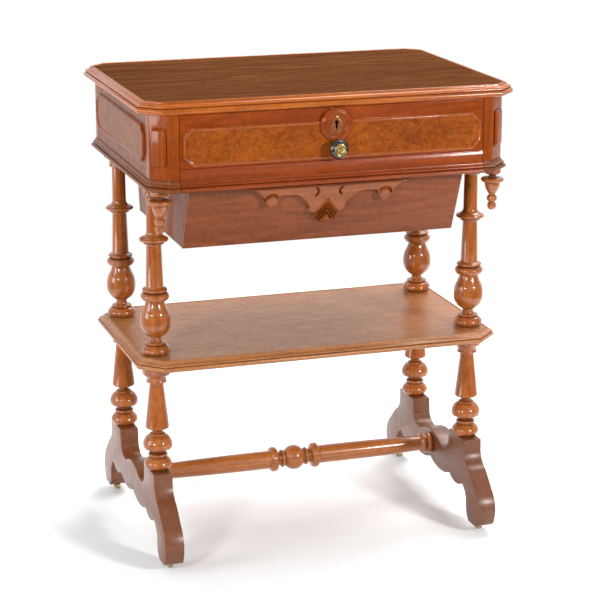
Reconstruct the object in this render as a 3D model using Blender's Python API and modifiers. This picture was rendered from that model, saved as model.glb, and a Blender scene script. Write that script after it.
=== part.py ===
"""A sewing table: a drawer and a hanging hopper in a canted case, on turned legs and trestle feet.

The frame has its origin on the floor under the middle of the table, +Z up and the front towards -Y.
"""

import math

import bmesh
import bpy
from mathutils import Matrix, Vector

# ---------------------------------------------------------------- driving dimensions, in metres

GAP = 0.0003  # between two pieces that touch
RUN_PAST = 0.001  # of a cut beyond the face that it opens, and of a joined piece into its neighbour
SLIDE_PLAY = 0.0012  # beside a drawer or a hopper in its opening
REVEAL = 0.0008  # round a front in its opening

TABLE_HEIGHT = 0.750
TOP_WIDTH = 0.610
TOP_DEPTH = 0.432
TOP_THICK = 0.020
TOP_CANT = 0.031
TOP_OVERHANG_X = 0.019
TOP_OVERHANG_Y = 0.007

CASE_HEIGHT = 0.100
CASE_CANT = 0.025
BOARD = 0.018
FRONT_POST_FACE = 0.0155  # width of post seen beside the drawer front
POST_DEPTH = 0.046
BEARER_THICK = 0.018
MOULDING_OUT = 0.0085

SHELF_HEIGHT = 0.3368
SHELF_THICK = 0.0173
SHELF_IN_FROM_TOP_X = 0.00225
SHELF_IN_FROM_TOP_Y = 0.039
SHELF_CANT = 0.0365

LEG_IN_X = 0.0210  # leg axis in from the case's side face
LEG_IN_Y = 0.0924  # leg axis in from the case's front face
TENON_RADIUS = 0.0075
TENON_INTO_BEARER = 0.012
TENON_INTO_LEG = 0.009
TENON_INTO_FOOT = 0.018

FOOT_THICK = 0.031
FOOT_PAD_HEIGHT = 0.1448
FOOT_PAD_HALF = 0.0325
FOOT_REACH = 0.0999  # toe's end beyond the leg axis
FOOT_UNDERSIDE = 0.0125
STRETCHER_HEIGHT = 0.0935
STRETCHER_TENON_RADIUS = 0.0085
STRETCHER_TENON = 0.018

CASTER_IN = 0.0314  # caster axis in from the toe's end
WHEEL_RADIUS = 0.0080
WHEEL_WIDTH = 0.0080
AXLE_RADIUS = 0.0014
CASTER_TRAIL = 0.0035
FORK_WALL = 0.0016
CHEEK_HALF = 0.0033  # half the fork cheek's width, and its reach below the axle
WHEEL_EDGE = 0.0013
STEM_RADIUS = 0.0025
STEM_LENGTH = 0.020
POCKET_RADIUS = 0.0136

DRAWER_FRONT_THICK = 0.018
DRAWER_SIDE_THICK = 0.010
DRAWER_SIDE_CLEAR = 0.0042  # below the top rail
DRAWER_BOTTOM_THICK = 0.005
DRAWER_BOTTOM_UP = 0.004
DIVIDERS_BACK = 0.030  # the long divider behind the drawer's middle
DIVIDER_CELLS = 4
HOPPER_BOTTOM_THICK = 0.007
DRAWER_DEPTH = 0.356  # of the box behind the front
DIVIDER_THICK = 0.004
DIVIDER_HEIGHT = 0.036
PANEL_CANT = 0.014
PANEL_UP = 0.0032  # from the front's lower edge
PANEL_DOWN = 0.0202  # from its upper edge
PANEL_SIDE = 0.0047  # from its ends
PANEL_PROUD = 0.0030
PANEL_MOULDING_WIDTH = 0.0045
PANEL_MOULDING_PROUD = 0.0052
BOSS_RADIUS_SHARE = 0.3133  # of the drawer front's height
BOSS_PROUD = 0.0085
BOSS_DISH = 0.0030  # its face below its rim
BOSS_DOWN_SHARE = 0.3219  # centre below the front's upper edge, of its height
PLATE_THICK = 0.0012
PLATE_RADIUS_SHARE = 0.4235  # of the boss's radius
PLATE_POINT_SHARE = 0.549  # its top above the boss's centre
PLATE_DROP_SHARE = 0.0706  # centre of its round end below the boss's
KEYHOLE_RADIUS = 0.0030
KEYHOLE_SLOT = 0.0105
KEYHOLE_UP = 0.004  # its round end above the boss's centre
KNOB_RADIUS = 0.0155
KNOB_REACH = 0.0265
KNOB_FOOT_SHARE = 0.1044  # its foot's radius, of the front's height
KNOB_BELOW_BOSS = 0.0015  # foot to boss
KNOB_DOWEL = 0.0090
KNOB_DOWEL_RADIUS = 0.0045
ROSETTE_RADIUS = 0.0098
ROSETTE_HEIGHT = 0.0034
ROSETTE_SEAT = 0.0015
LOCK_WIDTH = 0.050
LOCK_HEIGHT = 0.038
LOCK_THICK = 0.011
BOLT_WIDTH = 0.016
BOLT_THICK = 0.005
BOLT_THROW = 0.006
BOLT_LENGTH = 0.024

TOP_RAIL_HEIGHT = 0.018
RUNNER_THICK = 0.007
RUNNER_LEDGE = 0.018
HOPPER_RAIL_HEIGHT = 0.0350
HOPPER_RAIL_DEPTH = 0.037
HOPPER_WALL = 0.009
HOPPER_DROP = 0.1045  # hopper bottom below the bearers
HOPPER_FRONT_SLOPE = 0.4306
HOPPER_BACK_SLOPE = 0.2105
HOPPER_FRONT_IN = 0.027  # top of its front board in from the case's face
HOPPER_BACK_IN = 0.044
HOPPER_SLIDE_HEIGHT = 0.0225
HOPPER_LIP = 0.0048
APRON_THICK = 0.009
ROUNDEL_RADIUS = 0.0105
ROUNDEL_OUT = 0.0925
ROUNDEL_DOWN = 0.0235
ROUNDEL_PROUD = 0.0025

PENDANT_OUT_X = 0.007  # pendant axis out from the leg axis
PENDANT_OUT_Y = 0.070

SIDE_PANEL_PROUD = 0.0045
POST_PANEL_PROUD = 0.0045
POST_PANEL_WIDTH = 0.0260
POST_PANEL_BEVEL = 0.0038

LEG_STEPS = 12
SMALL_STEPS = 12
ROUND_STEPS = 24

# ---------------------------------------------------------------- places worked out from them

CASE_TOP = TABLE_HEIGHT - TOP_THICK
CASE_BOTTOM = CASE_TOP - CASE_HEIGHT
BEARER_BOTTOM = CASE_BOTTOM - BEARER_THICK
HALF_CASE_X = TOP_WIDTH / 2 - TOP_OVERHANG_X
HALF_CASE_Y = TOP_DEPTH / 2 - TOP_OVERHANG_Y
OPENING_HALF = HALF_CASE_X - CASE_CANT - FRONT_POST_FACE
LEG_X = HALF_CASE_X - LEG_IN_X
LEG_Y = HALF_CASE_Y - LEG_IN_Y
SHELF_BOTTOM = SHELF_HEIGHT - SHELF_THICK
FOOT_END = LEG_Y + FOOT_REACH
CASTER_Y = FOOT_END - CASTER_IN
POST_INNER_Y = HALF_CASE_Y - POST_DEPTH
RAIL_TOP = BEARER_BOTTOM + HOPPER_RAIL_HEIGHT
RAIL_BACK_Y = -HALF_CASE_Y + HOPPER_RAIL_DEPTH
DRAWER_BOTTOM_Z = RAIL_TOP + REVEAL
DRAWER_TOP_Z = CASE_TOP - REVEAL
DRAWER_HALF = OPENING_HALF - REVEAL
DRAWER_SIDE_TOP = CASE_TOP - TOP_RAIL_HEIGHT - DRAWER_SIDE_CLEAR
PANEL_WIDTH = 2 * (DRAWER_HALF - PANEL_SIDE)
PANEL_HEIGHT = DRAWER_TOP_Z - PANEL_DOWN - DRAWER_BOTTOM_Z - PANEL_UP
DRAWER_BACK_FACE = -HALF_CASE_Y + DRAWER_FRONT_THICK
RUNNER_INNER = OPENING_HALF - RUNNER_LEDGE
HOPPER_HALF = RUNNER_INNER - 0.0035
FRONT_HEIGHT = DRAWER_TOP_Z - DRAWER_BOTTOM_Z
BOSS_RADIUS = BOSS_RADIUS_SHARE * FRONT_HEIGHT
BOSS_Z = DRAWER_TOP_Z - BOSS_DOWN_SHARE * FRONT_HEIGHT
PLATE_RADIUS = PLATE_RADIUS_SHARE * BOSS_RADIUS
PLATE_POINT = PLATE_POINT_SHARE * BOSS_RADIUS
PLATE_DROP = PLATE_DROP_SHARE * BOSS_RADIUS
KNOB_FOOT = KNOB_FOOT_SHARE * FRONT_HEIGHT
KNOB_Z = BOSS_Z - BOSS_RADIUS - KNOB_FOOT - KNOB_BELOW_BOSS
FRONT_REACH = HALF_CASE_Y + KNOB_REACH - ROSETTE_SEAT + GAP + ROSETTE_HEIGHT
BACK_REACH = max(HALF_CASE_Y + MOULDING_OUT, FOOT_END, TOP_DEPTH / 2)

WALNUT = ((0.30, 0.105, 0.040), 0.35, 0.0)
DARK_WALNUT = ((0.22, 0.075, 0.030), 0.32, 0.0)
BURL = ((0.46, 0.17, 0.055), 0.30, 0.0)
PALE_WALNUT = ((0.42, 0.17, 0.075), 0.35, 0.0)
DRAWER_WOOD = ((0.50, 0.32, 0.17), 0.55, 0.0)
BRASS = ((0.66, 0.47, 0.17), 0.35, 1.0)
EBONY = ((0.015, 0.013, 0.012), 0.18, 0.0)

# ---------------------------------------------------------------- scene, materials and helpers

for old in list(bpy.data.objects):
    bpy.data.objects.remove(old, do_unlink=True)

PARTS = bpy.data.collections.new("sewing_table")
CUTTERS = bpy.data.collections.new("cutters")
bpy.context.scene.collection.children.link(PARTS)
bpy.context.scene.collection.children.link(CUTTERS)


# An outline drawn as (y, z) and thick along X, and one drawn as (x, z) and thick along Y.
ACROSS = Matrix(((0, 0, 1, 0), (1, 0, 0, 0), (0, 1, 0, 0), (0, 0, 0, 1)))
FACING = Matrix(((1, 0, 0, 0), (0, 0, -1, 0), (0, 1, 0, 0), (0, 0, 0, 1)))
ALONG = {
    "X": Matrix.Rotation(math.pi / 2, 4, "Y"),
    "Y": Matrix.Rotation(math.pi / 2, 4, "X"),
    "Z": Matrix.Identity(4),
}


def material(name, look):
    """A Principled material of one colour, roughness and metallic value."""
    colour, roughness, metallic = look
    made = bpy.data.materials.new(name)
    made.use_nodes = True
    shader = made.node_tree.nodes["Principled BSDF"]
    shader.inputs["Base Color"].default_value = (*colour, 1.0)
    shader.inputs["Roughness"].default_value = roughness
    shader.inputs["Metallic"].default_value = metallic
    return made


def add_part(name, mesh, look, smooth=False):
    """A named piece of the table, with its own material."""
    piece = bpy.data.objects.new(name, mesh)
    PARTS.objects.link(piece)
    mesh.materials.clear()
    mesh.materials.append(material(name, look))
    if smooth:
        mesh.shade_smooth()
        mesh.set_sharp_from_angle(angle=math.radians(40))
    return piece


def add_cutter(name, mesh):
    """A helper for a Boolean, which is never itself a piece."""
    helper = bpy.data.objects.new(name, mesh)
    CUTTERS.objects.link(helper)
    helper.hide_render = True
    helper.display_type = "WIRE"
    return helper


def boolean(piece, helper, operation):
    """Cuts the helper from the piece, or joins it on."""
    step = piece.modifiers.new(helper.name, "BOOLEAN")
    step.operation = operation
    step.object = helper
    step.solver = "EXACT"


def box_mesh(name, low, high):
    """A box between two corners."""
    shape = bmesh.new()
    bmesh.ops.create_cube(shape, size=1.0)
    size = [b - a for a, b in zip(low, high)]
    middle = [(a + b) / 2 for a, b in zip(low, high)]
    shape.transform(Matrix.Translation(middle) @ Matrix.Diagonal((*size, 1.0)))
    mesh = bpy.data.meshes.new(name)
    shape.to_mesh(mesh)
    shape.free()
    return mesh


def box(name, low, high, look):
    """A board or block between two corners."""
    return add_part(name, box_mesh(name, low, high), look)


def cut_box(piece, name, low, high):
    """Cuts a box out of a piece."""
    boolean(piece, add_cutter(name, box_mesh(name, low, high)), "DIFFERENCE")


def cylinder_mesh(name, radius, length, centre, axis="Z", steps=LEG_STEPS):
    """A cylinder centred on a point, along an axis."""
    shape = bmesh.new()
    bmesh.ops.create_cone(
        shape, cap_ends=True, segments=steps, radius1=radius, radius2=radius, depth=length
    )
    shape.transform(Matrix.Translation(centre) @ ALONG[axis])
    mesh = bpy.data.meshes.new(name)
    shape.to_mesh(mesh)
    shape.free()
    return mesh


def drill(piece, name, radius, length, centre, axis="Z", steps=LEG_STEPS):
    """Drills a round hole in a piece."""
    bit = cylinder_mesh(name, radius, length, centre, axis, steps)
    boolean(piece, add_cutter(name, bit), "DIFFERENCE")


def curved(start, end, bulge, steps):
    """The points of an arc after start up to end.

    The bulge is its rise over half its chord, to the left of the way it runs.
    """
    if not bulge:
        return [end]
    (ax, ay), (bx, by) = start, end
    chord = math.hypot(bx - ax, by - ay)
    angle = 4 * math.atan(bulge)
    radius = chord / (2 * math.sin(angle / 2))
    middle = Vector(((ax + bx) / 2, (ay + by) / 2))
    side = Vector((-(by - ay), bx - ax)) / chord
    centre = middle - side * radius * math.cos(angle / 2)
    first = math.atan2(ay - centre.y, ax - centre.x)
    points = []
    for i in range(1, steps + 1):
        turn = first - angle * i / steps
        points.append(
            (centre.x + abs(radius) * math.cos(turn), centre.y + abs(radius) * math.sin(turn))
        )
    return points


def outline(stations, steps=4):
    """A run of points through stations of (x, y), or of (x, y, bulge) where an arc ends there."""
    points = [tuple(stations[0][:2])]
    for station in stations[1:]:
        bulge = station[2] if len(station) > 2 else 0.0
        points += curved(points[-1], tuple(station[:2]), bulge, steps)
    return points


def plate_mesh(name, points, thickness):
    """A flat board of this outline in X and Y, centred on z = 0."""
    curve = bpy.data.curves.new(name, "CURVE")
    curve.dimensions = "2D"
    curve.fill_mode = "BOTH"
    curve.extrude = thickness / 2
    line = curve.splines.new("POLY")
    line.points.add(len(points) - 1)
    for point, (x, y) in zip(line.points, points):
        point.co = (x, y, 0.0, 1.0)
    line.use_cyclic_u = True
    drawn = bpy.data.objects.new(name + "_outline", curve)
    CUTTERS.objects.link(drawn)
    bpy.context.view_layer.update()
    graph = bpy.context.evaluated_depsgraph_get()
    mesh = bpy.data.meshes.new_from_object(drawn.evaluated_get(graph))
    bpy.data.objects.remove(drawn)
    shape = bmesh.new()
    shape.from_mesh(mesh)
    bmesh.ops.remove_doubles(shape, verts=shape.verts, dist=1e-6)
    bmesh.ops.recalc_face_normals(shape, faces=shape.faces)
    shape.to_mesh(mesh)
    shape.free()
    mesh.name = name
    return mesh


def plate(name, points, thickness, frame, centre, look):
    """A flat board of an outline, turned into its frame and moved to its place."""
    mesh = plate_mesh(name, points, thickness)
    mesh.transform(Matrix.Translation(centre) @ frame)
    return add_part(name, mesh, look)


def turned_mesh(name, profile, steps, arc_steps=2):
    """A lathe piece about Z. Its profile runs down its outer side as (radius, z) or (radius, z, bulge)."""
    points = outline(profile, arc_steps)
    mesh = bpy.data.meshes.new(name + "_profile")
    line = [(i, i + 1) for i in range(len(points) - 1)]
    mesh.from_pydata([(r, 0.0, z) for r, z in points], line, [])
    drawn = bpy.data.objects.new(name + "_profile", mesh)
    CUTTERS.objects.link(drawn)
    lathe = drawn.modifiers.new("lathe", "SCREW")
    lathe.steps = steps
    lathe.render_steps = steps
    lathe.use_merge_vertices = True
    lathe.merge_threshold = 1e-5
    bpy.context.view_layer.update()
    graph = bpy.context.evaluated_depsgraph_get()
    made = bpy.data.meshes.new_from_object(drawn.evaluated_get(graph))
    bpy.data.objects.remove(drawn)
    shape = bmesh.new()
    shape.from_mesh(made)
    bmesh.ops.remove_doubles(shape, verts=shape.verts, dist=1e-6)
    bmesh.ops.recalc_face_normals(shape, faces=shape.faces)
    shape.to_mesh(made)
    shape.free()
    made.name = name
    return made


def canted(half_x, half_y, cant):
    """A rectangle with its four corners cut off, anticlockwise from the front left."""
    corners = []
    for sx, sy in ((-1, -1), (1, -1), (1, 1), (-1, 1)):
        along_y = (sx * half_x, sy * (half_y - cant))
        along_x = (sx * (half_x - cant), sy * half_y)
        corners += [along_y, along_x] if sx * sy > 0 else [along_x, along_y]
    return corners


def canted_inset(half_x, half_y, cant, inset):
    """The same outline, moved in by an even distance."""
    return canted(half_x - inset, half_y - inset, cant - inset * (2 - math.sqrt(2)))


def moulded_slab_mesh(name, half_x, half_y, cant, profile):
    """A slab with a moulded edge. The profile runs from the bottom up as (inset, z)."""
    shape = bmesh.new()
    inset, z = profile[0]
    corners = canted_inset(half_x, half_y, cant, inset)
    bottom = shape.faces.new([shape.verts.new((x, y, z)) for x, y in corners])
    face = bottom
    for inset, z in profile[1:]:
        grown = bmesh.ops.extrude_face_region(shape, geom=[face])
        if face is not bottom:
            bmesh.ops.delete(shape, geom=[face], context="FACES_ONLY")
        face = next(item for item in grown["geom"] if isinstance(item, bmesh.types.BMFace))
        moved = canted_inset(half_x, half_y, cant, inset)
        for vert in face.verts:
            here = min(range(len(corners)), key=lambda i: math.dist(vert.co.xy, corners[i]))
            vert.co = (*moved[here], z)
        corners = moved
    bmesh.ops.recalc_face_normals(shape, faces=shape.faces)
    mesh = bpy.data.meshes.new(name)
    shape.to_mesh(mesh)
    shape.free()
    return mesh


def stand_on_centre():
    """Moves the table so that the origin is under the middle of its full depth, knob included."""
    centre = bpy.data.objects.new("table_centre", None)
    PARTS.objects.link(centre)
    for piece in list(PARTS.objects) + list(CUTTERS.objects):
        if piece.parent is None and piece is not centre:
            piece.parent = centre
    centre.location.y = (FRONT_REACH - BACK_REACH) / 2


def empty_at(name, place):
    """An empty on a joint's axis, which carries the pieces that turn about it."""
    pivot = bpy.data.objects.new(name, None)
    pivot.location = place
    PARTS.objects.link(pivot)
    bpy.context.view_layer.update()
    return pivot


def carry(pivot, pieces):
    """Parents pieces to an empty and leaves them where they are."""
    for piece in pieces:
        piece.parent = pivot
        piece.matrix_parent_inverse = pivot.matrix_world.inverted()


SIDES = (("left", -1), ("right", 1))
CORNERS = (
    ("front_left", -1, -1),
    ("front_right", 1, -1),
    ("rear_left", -1, 1),
    ("rear_right", 1, 1),
)

# ---------------------------------------------------------------- top


def table_top():
    """The fixed top, with a moulded canted edge and the mortise that the lock's bolt enters."""
    z = TABLE_HEIGHT
    profile = (
        (0.0045, CASE_TOP),
        (0.0030, CASE_TOP + 0.0015),
        (0.0008, CASE_TOP + 0.0038),
        (0.0, CASE_TOP + 0.0078),
        (0.0012, CASE_TOP + 0.0110),
        (0.0040, CASE_TOP + 0.0124),
        (0.0048, CASE_TOP + 0.0136),
        (0.0112, z - 0.0026),
        (0.0118, z),
    )
    top = add_part(
        "table_top",
        moulded_slab_mesh("table_top", TOP_WIDTH / 2, TOP_DEPTH / 2, TOP_CANT, profile),
        DARK_WALNUT,
    )
    y = bolt_y()
    half_x = BOLT_WIDTH / 2 + REVEAL
    half_y = BOLT_THICK / 2 + REVEAL
    cut_box(
        top,
        "bolt_mortise",
        (-half_x, y - half_y, CASE_TOP - 0.001),
        (half_x, y + half_y, CASE_TOP + BOLT_THROW + 0.002),
    )


def bolt_y():
    """The bolt slides up the middle of the lock's thickness."""
    return DRAWER_BACK_FACE + GAP + LOCK_THICK / 2


# ---------------------------------------------------------------- case


def corner_post(name, sx, sy):
    """A case post with its outer corner canted, and a small raised panel on the cant."""
    x = HALF_CASE_X
    y = HALF_CASE_Y
    c = CASE_CANT
    points = [
        (OPENING_HALF, POST_INNER_Y),
        (x, POST_INNER_Y),
        (x, y - c),
        (x - c, y),
        (OPENING_HALF, y),
    ]
    points = [(sx * px, sy * py) for px, py in points]
    height = CASE_HEIGHT - 2 * GAP
    middle = CASE_BOTTOM + CASE_HEIGHT / 2
    post = plate(name, points, height, ALONG["Z"], (0, 0, middle), WALNUT)
    sunk = 0.002
    panel = box_mesh(
        name + "_panel",
        (-POST_PANEL_WIDTH / 2, -sunk, DRAWER_BOTTOM_Z + PANEL_UP - middle),
        (POST_PANEL_WIDTH / 2, POST_PANEL_PROUD, DRAWER_BOTTOM_Z + PANEL_UP + PANEL_HEIGHT - middle),
    )
    turn = Matrix.Rotation(math.atan2(-sx, sy), 4, "Z")
    panel.transform(Matrix.Translation((sx * (x - c / 2), sy * (y - c / 2), middle)) @ turn)
    helper = add_cutter(name + "_panel", panel)
    eased = helper.modifiers.new("bevelled field", "BEVEL")
    eased.width = POST_PANEL_BEVEL
    eased.segments = 1
    boolean(post, helper, "UNION")


def case_boards():
    """The case's sides and back, between the posts."""
    low = CASE_BOTTOM + GAP
    high = CASE_TOP - GAP
    y = POST_INNER_Y - GAP
    for side, s in SIDES:
        x = sorted((s * (HALF_CASE_X - BOARD), s * HALF_CASE_X))
        box(f"case_side_{side}", (x[0], -y, low), (x[1], y, high), WALNUT)
    x = OPENING_HALF - GAP
    box("case_back", (-x, HALF_CASE_Y - BOARD, low), (x, HALF_CASE_Y, high), WALNUT)


def side_panel(side, s):
    """The raised panel on a case side, with canted corners."""
    half_y = POST_INNER_Y - 0.003
    bottom = DRAWER_BOTTOM_Z + PANEL_UP
    points = canted(half_y, PANEL_HEIGHT / 2, PANEL_CANT)
    centre = (s * (HALF_CASE_X + GAP + SIDE_PANEL_PROUD / 2), 0, bottom + PANEL_HEIGHT / 2)
    panel = plate(f"side_panel_{side}", points, SIDE_PANEL_PROUD, ACROSS, centre, BURL)
    eased = panel.modifiers.new("bevelled field", "BEVEL")
    eased.width = 0.0015
    eased.segments = 1


def base_profile():
    """The moulding at the foot of the case, from the bottom up, as (distance in from its nose, z)."""
    z = BEARER_BOTTOM
    return (
        (0.0046, z),
        (0.0040, z + 0.0007),
        (0.0014, z + 0.0018),
        (0.0, z + 0.0044),
        (0.0012, z + 0.0070),
        (0.0044, z + 0.0079),
        (0.0044, z + 0.0090),
        (0.0026, z + 0.0092),
        (0.0030, z + 0.0110),
        (0.0056, z + 0.0120),
        (0.0070, z + 0.0148),
        (0.0072, z + 0.0160),
        (MOULDING_OUT, z + 0.0162),
        (MOULDING_OUT, CASE_BOTTOM - GAP),
    )


def bearers():
    """The case's moulded base: a bearer at each side, grooved for the hopper's slides, and one behind."""
    half_x = HALF_CASE_X + MOULDING_OUT
    half_y = HALF_CASE_Y + MOULDING_OUT
    cant = CASE_CANT + MOULDING_OUT * (2 - math.sqrt(2))
    far = 1.0
    low = BEARER_BOTTOM - 0.01
    high = CASE_BOTTOM + 0.01
    seam_y = HALF_CASE_Y - BOARD
    lip_top = BEARER_BOTTOM + HOPPER_LIP
    for side, s in SIDES:
        mesh = moulded_slab_mesh(f"bearer_{side}", half_x, half_y, cant, base_profile())
        bearer = add_part(f"bearer_{side}", mesh, WALNUT)
        inner = sorted((s * RUNNER_INNER, -s * far))
        cut_box(bearer, f"bearer_{side}_inner", (inner[0], -far, low), (inner[1], far, high))
        groove = sorted((s * OPENING_HALF, -s * far))
        cut_box(bearer, f"bearer_{side}_groove", (groove[0], -far, lip_top), (groove[1], far, high))
        front = RAIL_BACK_Y + GAP
        cut_box(bearer, f"bearer_{side}_front", (groove[0], -far, low), (groove[1], front, high))
        cut_box(bearer, f"bearer_{side}_back", (groove[0], seam_y - GAP, low), (groove[1], far, high))
        for end, sy in (("front", -1), ("rear", 1)):
            bore = TENON_RADIUS + GAP
            depth = TENON_INTO_BEARER + GAP
            centre = (s * LEG_X, sy * LEG_Y, BEARER_BOTTOM + depth / 2 - 0.0005)
            drill(bearer, f"bearer_{side}_{end}_mortise", bore, depth + 0.001, centre)
    mesh = moulded_slab_mesh("bearer_back", half_x, half_y, cant, base_profile())
    back = add_part("bearer_back", mesh, WALNUT)
    x = OPENING_HALF - GAP
    cut_box(back, "bearer_back_front", (-far, -far, low), (far, seam_y, high))
    cut_box(back, "bearer_back_left", (-far, -far, low), (-x, far, high))
    cut_box(back, "bearer_back_right", (x, -far, low), (far, far, high))


def drawer_runner(side, s):
    """An L of wood inside the case: a ledge under the drawer's side and a guide beside it."""
    ledge = DRAWER_BOTTOM_Z - GAP
    inner = RUNNER_INNER
    outer = HALF_CASE_X - BOARD - GAP
    guide_top = ledge + 0.030
    points = [
        (inner, ledge - RUNNER_THICK),
        (OPENING_HALF, ledge - RUNNER_THICK),
        (OPENING_HALF, CASE_BOTTOM + GAP),
        (outer, CASE_BOTTOM + GAP),
        (outer, guide_top),
        (OPENING_HALF, guide_top),
        (OPENING_HALF, ledge),
        (inner, ledge),
    ]
    points = [(s * x, z) for x, z in points]
    length = 2 * (POST_INNER_Y - GAP)
    plate(f"drawer_runner_{side}", points, length, FACING, (0, 0, 0), DRAWER_WOOD)


def top_rail():
    """The rail behind the drawer front that ties the front posts under the top."""
    x = OPENING_HALF - GAP
    low_y = DRAWER_BACK_FACE + LOCK_THICK + 0.003
    high_y = -POST_INNER_Y
    box("top_rail", (-x, low_y, CASE_TOP - TOP_RAIL_HEIGHT), (x, high_y, CASE_TOP - GAP), DRAWER_WOOD)


# ---------------------------------------------------------------- turned legs


def upper_leg_profile():
    """Capital, ring, tapering shaft, ring, vase and bun, with a tenon at each end."""
    t = BEARER_BOTTOM - GAP
    b = SHELF_HEIGHT + GAP
    tenon = TENON_RADIUS
    return (
        (0.0, t + TENON_INTO_BEARER),
        (tenon, t + TENON_INTO_BEARER),
        (tenon, t),
        (0.0230, t),
        (0.0230, t - 0.0045),
        (0.0155, t - 0.0180, -0.35),
        (0.0135, t - 0.0190),
        (0.0135, t - 0.0205),
        (0.0108, t - 0.0225),
        (0.0113, t - 0.0785),
        (0.0190, t - 0.0860, -0.30),
        (0.0232, t - 0.0895),
        (0.0222, t - 0.0925),
        (0.0150, t - 0.0965, -0.25),
        (0.0135, t - 0.0985),
        (0.0118, t - 0.0990),
        (0.0138, b + 0.1065),
        (0.0158, b + 0.1050),
        (0.0158, b + 0.1025),
        (0.0225, b + 0.0945),
        (0.0232, b + 0.0895),
        (0.0215, b + 0.0865),
        (0.0152, b + 0.0835, -0.30),
        (0.0215, b + 0.0680),
        (0.0239, b + 0.0510, 0.06),
        (0.0190, b + 0.0350, 0.20),
        (0.0108, b + 0.0285, 0.10),
        (0.0088, b + 0.0260),
        (0.0088, b + 0.0215),
        (0.0158, b + 0.0185, -0.25),
        (0.0158, b + 0.0160),
        (0.0212, b + 0.0115, 0.15),
        (0.0236, b + 0.0060, 0.12),
        (0.0205, b, 0.25),
        (tenon, b),
        (tenon, SHELF_BOTTOM - TENON_INTO_LEG),
        (0.0, SHELF_BOTTOM - TENON_INTO_LEG),
    )


def lower_leg_profile():
    """Capital with a socket, flaring shaft, ring, disc and ball, with a tenon into the foot."""
    t = SHELF_BOTTOM - GAP
    b = FOOT_PAD_HEIGHT + GAP
    tenon = TENON_RADIUS
    socket = TENON_RADIUS + GAP
    return (
        (0.0, t - TENON_INTO_LEG - GAP),
        (socket, t - TENON_INTO_LEG - GAP),
        (socket, t),
        (0.0225, t),
        (0.0218, t - 0.0165),
        (0.0155, t - 0.0265, -0.25),
        (0.0150, t - 0.0285),
        (0.0110, t - 0.0310),
        (0.0188, t - 0.1020),
        (0.0180, t - 0.1055, 0.25),
        (0.0095, t - 0.1090),
        (0.0078, t - 0.1110),
        (0.0116, t - 0.1155, -0.15),
        (0.0122, t - 0.1180),
        (0.0160, b + 0.0545),
        (0.0222, b + 0.0480, 0.15),
        (0.0235, b + 0.0400, 0.10),
        (0.0222, b + 0.0345),
        (0.0100, b + 0.0300),
        (0.0096, b + 0.0275),
        (0.0150, b + 0.0255),
        (0.0156, b + 0.0225, 0.20),
        (0.0135, b + 0.0200),
        (0.0182, b + 0.0165, 0.10),
        (0.0225, b + 0.0080, 0.22),
        (0.0172, b, 0.25),
        (tenon, b),
        (tenon, FOOT_PAD_HEIGHT - TENON_INTO_FOOT),
        (0.0, FOOT_PAD_HEIGHT - TENON_INTO_FOOT),
    )


def legs():
    """Four two-part legs, with the shelf held between their halves."""
    upper = turned_mesh("upper_leg", upper_leg_profile(), LEG_STEPS)
    lower = turned_mesh("lower_leg", lower_leg_profile(), LEG_STEPS)
    for corner, sx, sy in CORNERS:
        for name, mesh in (("upper_leg", upper), ("lower_leg", lower)):
            leg = add_part(f"{name}_{corner}", mesh.copy(), WALNUT, smooth=True)
            leg.location = (sx * LEG_X, sy * LEG_Y, 0)


def shelf():
    """The shelf, with a moulded edge, canted corners and a hole for each leg's tenon."""
    z = SHELF_HEIGHT
    b = SHELF_BOTTOM
    profile = (
        (0.0035, b),
        (0.0022, b + 0.0012),
        (0.0003, b + 0.0035),
        (0.0, b + 0.0062),
        (0.0012, b + 0.0085),
        (0.0035, b + 0.0094),
        (0.0042, b + 0.0106),
        (0.0120, z - 0.0022),
        (0.0128, z),
    )
    half_x = TOP_WIDTH / 2 - SHELF_IN_FROM_TOP_X
    half_y = TOP_DEPTH / 2 - SHELF_IN_FROM_TOP_Y
    board = add_part(
        "shelf", moulded_slab_mesh("shelf", half_x, half_y, SHELF_CANT, profile), WALNUT
    )
    for corner, sx, sy in CORNERS:
        centre = (sx * LEG_X, sy * LEG_Y, (z + b) / 2)
        drill(board, f"shelf_{corner}_hole", TENON_RADIUS + GAP, SHELF_THICK + 0.01, centre)


def pendants():
    """The turned drops under the case's front corners."""
    t = BEARER_BOTTOM - GAP
    profile = (
        (0.0, t),
        (0.0125, t),
        (0.0125, t - 0.0065),
        (0.0100, t - 0.0080),
        (0.0050, t - 0.0090),
        (0.0050, t - 0.0125),
        (0.0165, t - 0.0140),
        (0.0173, t - 0.0160),
        (0.0165, t - 0.0195),
        (0.0122, t - 0.0210),
        (0.0060, t - 0.0395, 0.12),
        (0.0050, t - 0.0410),
        (0.0076, t - 0.0470, 0.35),
        (0.0050, t - 0.0530, 0.35),
        (0.0069, t - 0.0590, 0.35),
        (0.0, t - 0.0665, 0.45),
    )
    mesh = turned_mesh("pendant", profile, SMALL_STEPS)
    for side, s in SIDES:
        drop = add_part(f"pendant_{side}", mesh.copy(), WALNUT, smooth=True)
        drop.location = (s * (LEG_X + PENDANT_OUT_X), -LEG_Y - PENDANT_OUT_Y, 0)


# ---------------------------------------------------------------- trestle feet and stretcher


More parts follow.
